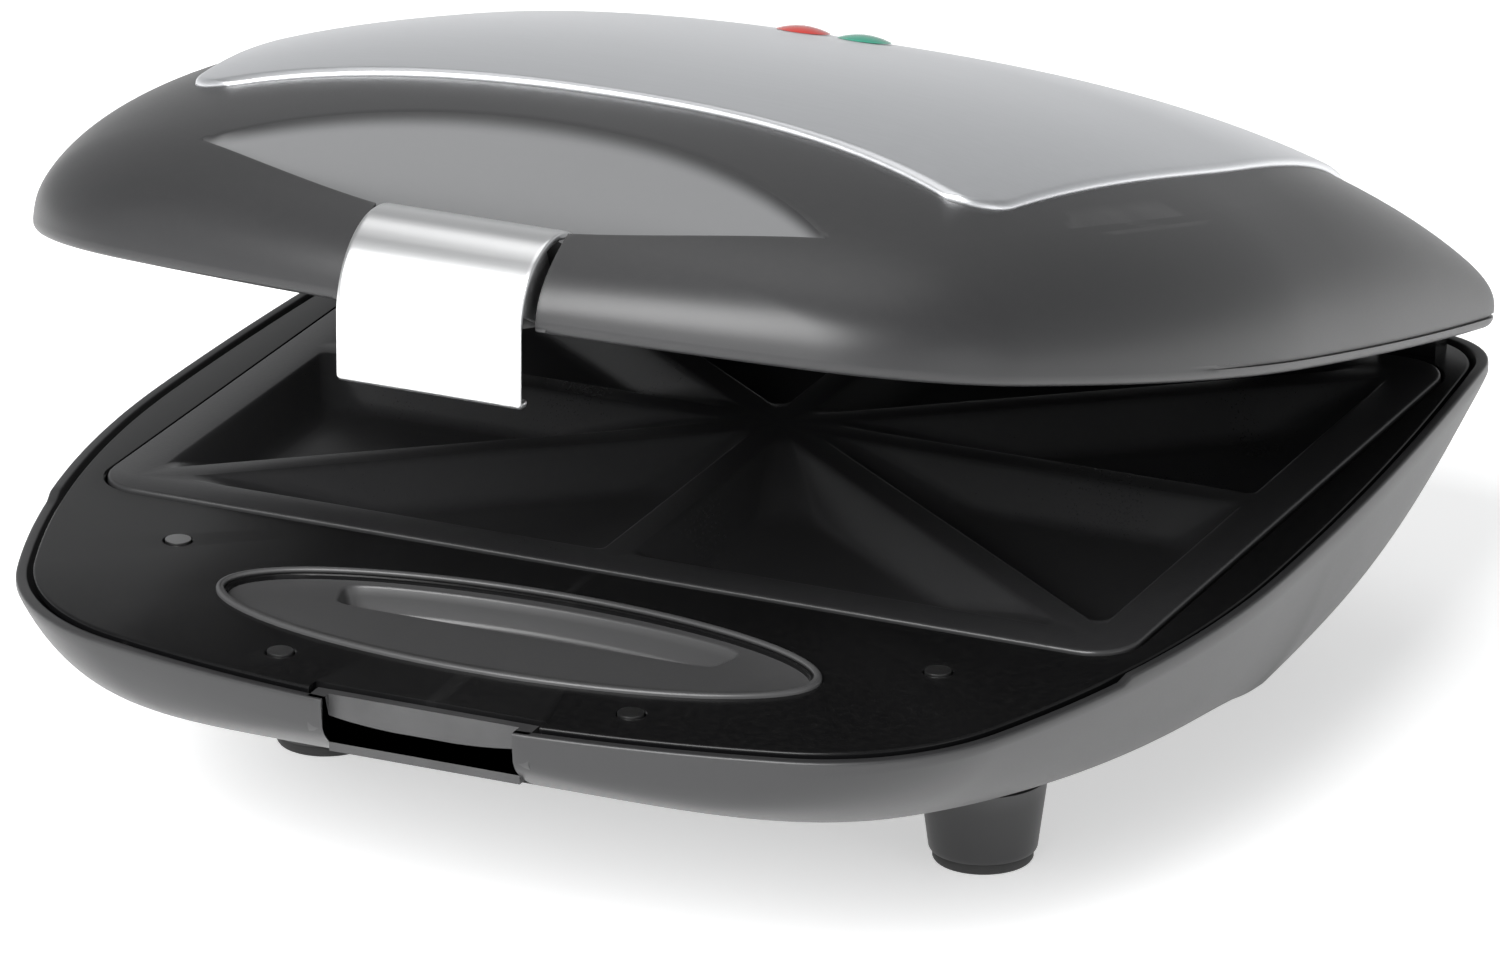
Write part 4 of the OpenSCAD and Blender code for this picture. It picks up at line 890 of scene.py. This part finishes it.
# %% Tray
TRAY_FLOOR, TRAY_STEP, TRAY_LIP = 70.2, 1.2, 5.4
WELL_FRONT, WELL_REAR, WELL_HALF, WELL_DRAW = -121.0, -97.0, 58.0, 8.0
WELL_MIDDLE = np.array([0.0, -112.0])


def reach_oval(way, a, b):
    """Distance from the pocket's middle to the oval along unit directions: the positive root of a quadratic."""
    o = (WELL_MIDDLE - np.array([0, TRAY_Y])) / np.array([a, b])
    d = way / np.array([a, b])
    qa, qb, qc = (d * d).sum(1), 2 * (d * o).sum(1), (o * o).sum() - 1
    return (-qb + np.sqrt(qb**2 - 4 * qa * qc)) / (2 * qa)


def reach_pocket(way, inset):
    """Soft minimum of the distances to the pocket's front line, its two slanting ends and the lip's oval."""
    end = np.array([WELL_REAR - WELL_FRONT, -WELL_DRAW])
    end = end / math.hypot(*end)
    reach = (np.array([WELL_HALF, WELL_REAR]) - WELL_MIDDLE) @ end
    lines = [(np.array([0.0, -1.0]), WELL_MIDDLE[1] - WELL_FRONT), (end, reach), (end * np.array([-1, 1]), reach)]
    lip = reach_oval(way, TRAY_A - TRAY_LIP - inset, TRAY_B - TRAY_LIP - inset)
    all_reach = [lip] + [(distance - inset) / np.maximum(1e-3, way @ normal) for normal, distance in lines]
    return (np.stack(all_reach) ** -14.0).sum(0) ** (-1 / 14)


def tray_loops():
    """Underside, rounded lip, dish, floor, then the pocket's shoulder, walls and bottom."""
    corners = [-2.95, -2.85, -2.75, -0.39, -0.3, -0.2, 0.05, 0.12, 0.2]
    corners += [math.pi - 0.2, math.pi - 0.12, math.pi - 0.05]
    turns = np.unique(np.concatenate([np.linspace(-math.pi, math.pi, 161)[:-1], corners]))
    spread = np.column_stack([WELL_HALF * np.cos(turns), 0.22 * WELL_HALF * np.sin(turns)])
    way = spread / np.linalg.norm(spread, axis=1)[:, None]
    lip = DECK_Z + TRAY_STEP
    under = 0.02 - TRAY_STEP
    oval = [(2, under), (0, under), (0, -0.7), (0.15, -0.35), (0.5, -0.08), (0.9, 0), (1.2, -0.08), (1.6, -0.5),
            (2.3, TRAY_FLOOR + 0.5 - lip), (2.9, TRAY_FLOOR + 0.1 - lip), (3.6, TRAY_FLOOR - lip)]
    pocket = [(-0.7, 0.0), (-0.3, -0.05), (0.0, -0.25), (0.2, -0.6), (0.7, -2.6), (1.5, -6.2), (1.9, -7.2), (2.9, -7.6)]
    reaches = [(reach_oval(way, TRAY_A - inset, TRAY_B - inset), lip + z) for inset, z in oval]
    reaches += [(reach_pocket(way, inset), TRAY_FLOOR + z) for inset, z in pocket]
    return np.stack([at_height(WELL_MIDDLE + way * reach[:, None], z) for reach, z in reaches])


points, faces = dish(tray_loops())
tray = make_piece("oval_tray", points, faces, "base", ["handle_tray"], "tray_grey", sharp=50)
tray.modifiers.new("wall", "SOLIDIFY").thickness = 1.2 * MM
print("tray:", len(tray.data.polygons), "faces")

# %% [markdown]
# ## Feet
# Each foot is turned: a slight taper, a rounded lower edge, and a soft pad under it.


# %% Feet
PAD_TOP, FOOT_LOW_R, FOOT_HIGH_R = 3.0, 13.5, 16.0
PAD = [(11.6, 0.0), (12.2, 0.15), (12.5, 0.6), (12.5, 2.4), (12.2, 2.9), (11.6, PAD_TOP)]


def turned_piece(name, profile, x, y, node, slot, sharp):
    """A profile of (radius, height) turned about an upright axis, riding on the base."""
    points, faces = stack(np.stack([at_height(ellipse(x, y, r, r, 72), z) for r, z in profile]))
    make_piece(name, points, faces, "base", [node], slot, sharp=sharp)


for name, x, y, top in (("front_left", -90, -48, 22.0), ("front_right", 90, -48, 22.0),
                        ("rear_left", -90, 108, 17.2), ("rear_right", 90, 108, 17.2)):
    taper = (FOOT_HIGH_R - FOOT_LOW_R) / (top - PAD_TOP)
    profile = [(12.9, PAD_TOP), (13.3, 3.1), (FOOT_LOW_R, 3.5)]
    profile += [(FOOT_LOW_R + taper * h, 3.5 + h) for h in np.linspace(1, top - 3.5, 6)]
    turned_piece("foot_" + name + "_body", profile, x, y, "foot_" + name, "foot_plastic", 45)
    turned_piece("pad_" + name + "_body", PAD, x, y, "foot_pad_" + name, "foot_rubber", 50)
print("feet done")

# %% [markdown]
# ## Shader groups
# Three small groups carry the effects that repeat: moulded plastic's fine grain, brushed
# metal's fine lines, and worn edges with a little dust. A group gives only colours,
# masks and heights. The shader itself stays in each material.


# %% Shader groups
def feed(tree, node, values):
    """Gives each input of a node, by name or number, its value or a link from a socket."""
    for socket, value in values.items():
        if isinstance(value, bpy.types.NodeSocket):
            tree.links.new(value, node.inputs[socket])
        else:
            node.inputs[socket].default_value = value


def add_node(tree, kind, inputs=(), **settings):
    """A shader node with its settings and inputs."""
    node = tree.nodes.new("ShaderNode" + kind)
    for name, value in settings.items():
        setattr(node, name, value)
    feed(tree, node, dict(inputs))
    return node


def new_group(name, inputs, outputs):
    """An empty shader group, its input sockets and its output node. Labels that end in Color make colour sockets."""
    group = bpy.data.node_groups.new(name, "ShaderNodeTree")
    for labels, way in ((inputs, "INPUT"), (outputs, "OUTPUT")):
        for label in labels:
            kind = "NodeSocketColor" if label.endswith("Color") else "NodeSocketFloat"
            item = group.interface.new_socket(label, in_out=way, socket_type=kind)
            if way == "INPUT":
                item.default_value = inputs[label]
    return group, group.nodes.new("NodeGroupInput").outputs, group.nodes.new("NodeGroupOutput")


def math_node(tree, op, *values):
    """The output of a math node with sockets or numbers as inputs."""
    return add_node(tree, "Math", dict(enumerate(values)), operation=op).outputs[0]


def noise(tree, vector, scale, detail, rough=0.5):
    """The value of a noise texture."""
    inputs = {"Vector": vector, "Scale": scale, "Detail": detail, "Roughness": rough}
    return add_node(tree, "TexNoise", inputs).outputs[0]


def mixed(tree, factor, a, b):
    """Two colours mixed by a factor."""
    node = add_node(tree, "Mix", data_type="RGBA")
    feed(tree, node, {"Factor": factor, "A": a, "B": b})
    return next(socket for socket in node.outputs if socket.type == "RGBA")


def object_space(tree):
    """Object coordinates."""
    return add_node(tree, "TexCoord").outputs["Object"]


PATTERN_OUTPUTS = ("Color", "Roughness", "Height")


def finish_pattern(group, given, out, swing, rough_swing, height):
    """Colour times 1 + swing x contrast, and roughness + rough swing x spread."""
    factor = math_node(group, "MULTIPLY_ADD", swing, given["Contrast"], 1.0)
    tint = add_node(group, "VectorMath", operation="SCALE")
    feed(group, tint, {0: given["Color"], "Scale": factor})
    rough = math_node(group, "MULTIPLY_ADD", rough_swing, given["Roughness Spread"], given["Roughness"])
    feed(group, out, {"Color": tint.outputs[0], "Roughness": rough, "Height": height})
    return group


def grain_group():
    """Fine pits and broad cloudiness."""
    group, given, out = new_group("moulded_grain", {
        "Color": (0.1, 0.1, 0.1, 1), "Grain Scale": 2200.0, "Cloud Scale": 14.0,
        "Contrast": 0.08, "Roughness": 0.4, "Roughness Spread": 0.1}, PATTERN_OUTPUTS)
    where = object_space(group)
    fine = noise(group, where, given["Grain Scale"], 3.0, 0.6)
    swing = math_node(group, "SUBTRACT", noise(group, where, given["Cloud Scale"], 4.0, 0.55), 0.5)
    both = math_node(group, "ADD", swing, math_node(group, "SUBTRACT", fine, 0.5))
    return finish_pattern(group, given, out, swing, both, fine)


def brushed_group():
    """Noise drawn out along X, so that lines run across the lid."""
    group, given, out = new_group("brushed_metal", {
        "Color": (0.6, 0.6, 0.6, 1), "Line Scale": 900.0, "Draw": 0.012,
        "Contrast": 0.1, "Roughness": 0.3, "Roughness Spread": 0.12}, PATTERN_OUTPUTS)
    x, y, z = add_node(group, "SeparateXYZ", {0: object_space(group)}).outputs
    drawn = add_node(group, "CombineXYZ", {0: math_node(group, "MULTIPLY", x, given["Draw"]), 1: y, 2: z})
    lines = noise(group, drawn.outputs[0], given["Line Scale"], 3.0, 0.65)
    swing = math_node(group, "SUBTRACT", lines, 0.5)
    return finish_pattern(group, given, out, swing, swing, lines)


def wear_group():
    """Pointed edges show a paler colour and flat tops hold some dust: colour and the two masks."""
    group, given, out = new_group("edge_wear_and_dust", {
        "Color": (0.1, 0.1, 0.1, 1), "Edge Color": (0.3, 0.3, 0.3, 1), "Edge Amount": 0.3,
        "Dust Color": (0.5, 0.48, 0.45, 1), "Dust Amount": 0.03}, ("Color", "Edge Mask", "Dust Mask"))
    where = object_space(group)
    shape = add_node(group, "NewGeometry").outputs
    pointed = add_node(group, "MapRange", {"Value": shape["Pointiness"], "From Min": 0.52, "From Max": 0.6}).outputs[0]
    broken = math_node(group, "MULTIPLY", pointed, noise(group, where, 90.0, 3.0))
    edge = math_node(group, "MULTIPLY", broken, given["Edge Amount"])
    up = math_node(group, "MAXIMUM", add_node(group, "SeparateXYZ", {0: shape["Normal"]}).outputs[2], 0.0)
    specks = math_node(group, "POWER", noise(group, where, 420.0, 5.0, 0.7), 3.0)
    dust = math_node(group, "MULTIPLY", math_node(group, "MULTIPLY", up, specks), given["Dust Amount"])
    worn = mixed(group, edge, given["Color"], given["Edge Color"])
    dusty = mixed(group, dust, worn, given["Dust Color"])
    feed(group, out, {"Color": dusty, "Edge Mask": edge, "Dust Mask": dust})
    return group


GRAIN, BRUSHED, WEAR = grain_group(), brushed_group(), wear_group()
print("shader groups:", [g.name for g in (GRAIN, BRUSHED, WEAR)])

# %% [markdown]
# ## Materials
# Every slot of the record gets one material. The colour is worked by the groups, and the
# surface's own character (metal, gloss, coat) is set on the shader.


# %% Materials
def use(tree, group, **values):
    """Puts a group into a material and sets its inputs by name, with spaces for underscores."""
    node = add_node(tree, "Group", node_tree=group)
    feed(tree, node, {label.replace("_", " "): value for label, value in values.items()})
    return node


def surface(name, group, colour, roughness, spread, contrast, bump, edge=0.3, edge_amount=0.2,
            dust=0.03, metal=0.0, coat=0.0, specular=0.5, clear=0.0, **more):
    """One material: pattern group, then wear and dust, then the shader. The bump is in millimetres."""
    mat = bpy.data.materials.new(name)
    mat.use_nodes = True
    tree = mat.node_tree
    shader = next(n for n in tree.nodes if n.type == "BSDF_PRINCIPLED")
    pattern = use(tree, group, Color=(*colour, 1), Roughness=roughness, Roughness_Spread=spread,
                  Contrast=contrast, **more).outputs
    wear = use(tree, WEAR, Color=pattern["Color"], Edge_Color=(edge, edge, edge, 1), Edge_Amount=edge_amount,
               Dust_Amount=dust).outputs
    bumper = add_node(tree, "Bump", {"Distance": bump * MM, "Height": pattern["Height"]})
    feed(tree, shader, {
        "Base Color": wear["Color"], "Normal": bumper.outputs[0], "Metallic": metal,
        "Roughness": math_node(tree, "MULTIPLY_ADD", wear["Dust Mask"], 0.8, pattern["Roughness"]),
        "Coat Weight": coat, "Coat Roughness": 0.1, "Specular IOR Level": specular, "Transmission Weight": clear})
    return mat


def with_painted_scoop_light(plain):
    """The lid's plastic: the housing's, but painted lighter where the hollow attribute marks the scoop, a painted
    highlight for the light that falls into the hollow.
    """
    mat = plain.copy()
    mat.name = "lid_plastic"
    tree = mat.node_tree
    pattern, wear = [next(n for n in tree.nodes if n.type == "GROUP" and n.node_tree == g) for g in (GRAIN, WEAR)]
    # Painted highlight: a lighter grey mixed in over the scoop, standing in for the light it catches.
    lit_scoop_tone = use(tree, GRAIN, Color=(0.155, 0.157, 0.16, 1), Contrast=0.05)
    hollow = add_node(tree, "Attribute", attribute_name="hollow").outputs["Fac"]
    tone = mixed(tree, hollow, pattern.outputs["Color"], lit_scoop_tone.outputs["Color"])
    feed(tree, wear, {"Color": tone})
    return mat


def give(obj, material):
    """Leaves an object with one material."""
    obj.data.materials.clear()
    obj.data.materials.append(material)


# Per slot: name, pattern, colour, roughness, its spread, contrast and bump, then what differs from the defaults.
FINISHES = {
    "housing": ("housing_plastic", GRAIN, (0.024, 0.024, 0.025), 0.38, 0.07, 0.06, 0.010,
                dict(edge=0.15, edge_amount=0.25)),
    "hinge_plastic": ("hinge_plastic", GRAIN, (0.02, 0.02, 0.021), 0.4, 0.1, 0.1, 0.01, {}),
    "deck_black": ("deck_black_gloss", GRAIN, (0.004, 0.004, 0.0043), 0.24, 0.06, 0.15, 0.004,
                   dict(edge=0.06, specular=0.2)),
    "tray_grey": ("tray_plastic", GRAIN, (0.055, 0.055, 0.056), 0.36, 0.08, 0.08, 0.01, dict(dust=0.04)),
    "plate_coating": ("non_stick_coating", GRAIN, (0.022, 0.022, 0.023), 0.3, 0.1, 0.25, 0.02,
                      dict(edge=0.16, edge_amount=0.5, dust=0.04, Grain_Scale=1500.0)),
    "panel_metal": ("brushed_panel", BRUSHED, (0.78, 0.79, 0.81), 0.38, 0.12, 0.10, 0.006,
                    dict(edge=0.8, metal=1.0, dust=0.04)),
    "clip_metal": ("plated_clip", BRUSHED, (0.93, 0.935, 0.94), 0.3, 0.08, 0.05, 0.003,
                   dict(edge=0.85, metal=1.0, dust=0.02)),
    "pin_steel": ("pin_steel", BRUSHED, (0.5, 0.5, 0.5), 0.3, 0.12, 0.1, 0.004, dict(metal=1.0)),
    "element_steel": ("element_sheath", GRAIN, (0.2, 0.185, 0.17), 0.45, 0.15, 0.4, 0.02, dict(metal=0.8)),
    "reflector_metal": ("reflector_sheet", BRUSHED, (0.6, 0.6, 0.6), 0.28, 0.12, 0.1, 0.004, dict(metal=1.0)),
    "ceramic": ("white_ceramic", GRAIN, (0.7, 0.68, 0.62), 0.5, 0.1, 0.08, 0.01, {}),
    "lead_cover": ("lead_sleeve", GRAIN, (0.5, 0.47, 0.42), 0.6, 0.1, 0.15, 0.03, {}),
    "gland_rubber": ("gland_rubber", GRAIN, (0.02, 0.02, 0.02), 0.55, 0.12, 0.15, 0.02, {}),
    "foot_plastic": ("foot_plastic", GRAIN, (0.03, 0.03, 0.031), 0.42, 0.1, 0.1, 0.015, {}),
    "foot_rubber": ("foot_rubber", GRAIN, (0.02, 0.02, 0.02), 0.65, 0.15, 0.2, 0.03, {}),
    "board": ("lamp_board", GRAIN, (0.3, 0.22, 0.1), 0.5, 0.12, 0.15, 0.01, {}),
    "lens_red": ("red_lens", GRAIN, (0.55, 0.03, 0.02), 0.16, 0.05, 0.1, 0.002, dict(coat=0.6, dust=0.01)),
    "lens_green": ("green_lens", GRAIN, (0.03, 0.30, 0.20), 0.16, 0.05, 0.1, 0.002, dict(coat=0.6, dust=0.01)),
    "lamp_glass": ("lamp_glass", GRAIN, (0.9, 0.85, 0.8), 0.06, 0.02, 0.03, 0.001, dict(dust=0.0, clear=0.8)),
}
MATERIALS = {slot: surface(*values, **more) for slot, (*values, more) in FINISHES.items()}

slot_of = {part["node"]: part["material_slot"] for part in frame["record"]["subparts"]}
for node_name, obj in frame["nodes"].items():
    give(obj, MATERIALS[slot_of[node_name]])
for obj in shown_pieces():
    if "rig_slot" in obj:
        give(obj, MATERIALS[obj["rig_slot"]])
# The lid gets the housing plastic with the scoop's painted highlight.
give(lid_cover, with_painted_scoop_light(MATERIALS["housing"]))
print("materials:", len(MATERIALS))

# %% [markdown]
# ## Floor and light
# A plain pale floor, a bright even surround and three large soft lights. Behind the floor
# the camera sees plain white, and the floor keeps the soft shadow.

# %% Stage
bpy.ops.mesh.primitive_plane_add(size=24.0, location=(0, 0, -0.0002))
floor = bpy.context.object
floor.name = "studio_floor"
floor_material = bpy.data.materials.new("floor_paper")
floor_material.use_nodes = True
floor_shader = next(n for n in floor_material.node_tree.nodes if n.type == "BSDF_PRINCIPLED")
feed(floor_material.node_tree, floor_shader, {
    "Base Color": (0.9, 0.9, 0.9, 1), "Emission Color": (1, 1, 1, 1), "Emission Strength": 0.52,
    "Roughness": 0.9, "Specular IOR Level": 0.1})
floor.data.materials.append(floor_material)

world = bpy.data.worlds.new("studio")
scene.world = world
world.use_nodes = True
tree = world.node_tree
tree.nodes.clear()
sky = add_node(tree, "SeparateXYZ", {0: add_node(tree, "TexCoord").outputs["Generated"]}).outputs[2]
fade = add_node(tree, "MapRange", {"Value": sky, "From Min": 0.0, "From Max": 0.75, "To Min": 0.6, "To Max": 0.22},
                interpolation_type="SMOOTHSTEP")
seen = add_node(tree, "Background", {"Color": (1, 1, 1, 1), "Strength": 1.0})
lit = add_node(tree, "Background", {"Color": (0.98, 0.99, 1.0, 1), "Strength": fade.outputs[0]})
mix = add_node(tree, "MixShader", {
    0: add_node(tree, "LightPath").outputs["Is Camera Ray"], 1: lit.outputs[0], 2: seen.outputs[0]})
add_node(tree, "OutputWorld", {0: mix.outputs[0]})


def area_light(name, place, aim, size, power):
    """A square soft light at a place, turned to face a point."""
    data = bpy.data.lights.new(name, "AREA")
    data.size = size
    data.energy = power
    lamp = bpy.data.objects.new(name, data)
    lamp.location = place
    way = np.asarray(aim, float) - np.asarray(place, float)
    flat = math.hypot(way[0], way[1])
    lamp.rotation_euler = (math.atan2(flat, -way[2]), 0.0, math.atan2(-way[0], way[1]))
    scene.collection.objects.link(lamp)
    return lamp


area_light("key_over", (-0.2, 0.5, 1.8), (0, 0, 0.1), 1.2, 5.0)
area_light("front_high", (-0.1, -1.7, 1.5), (0, 0, 0.1), 1.5, 80.0)
area_light("side_right", (2.0, -0.5, 0.5), (0, 0, 0.1), 1.0, 2.5)
scene.view_settings.view_transform = "Standard"
print("stage ready")
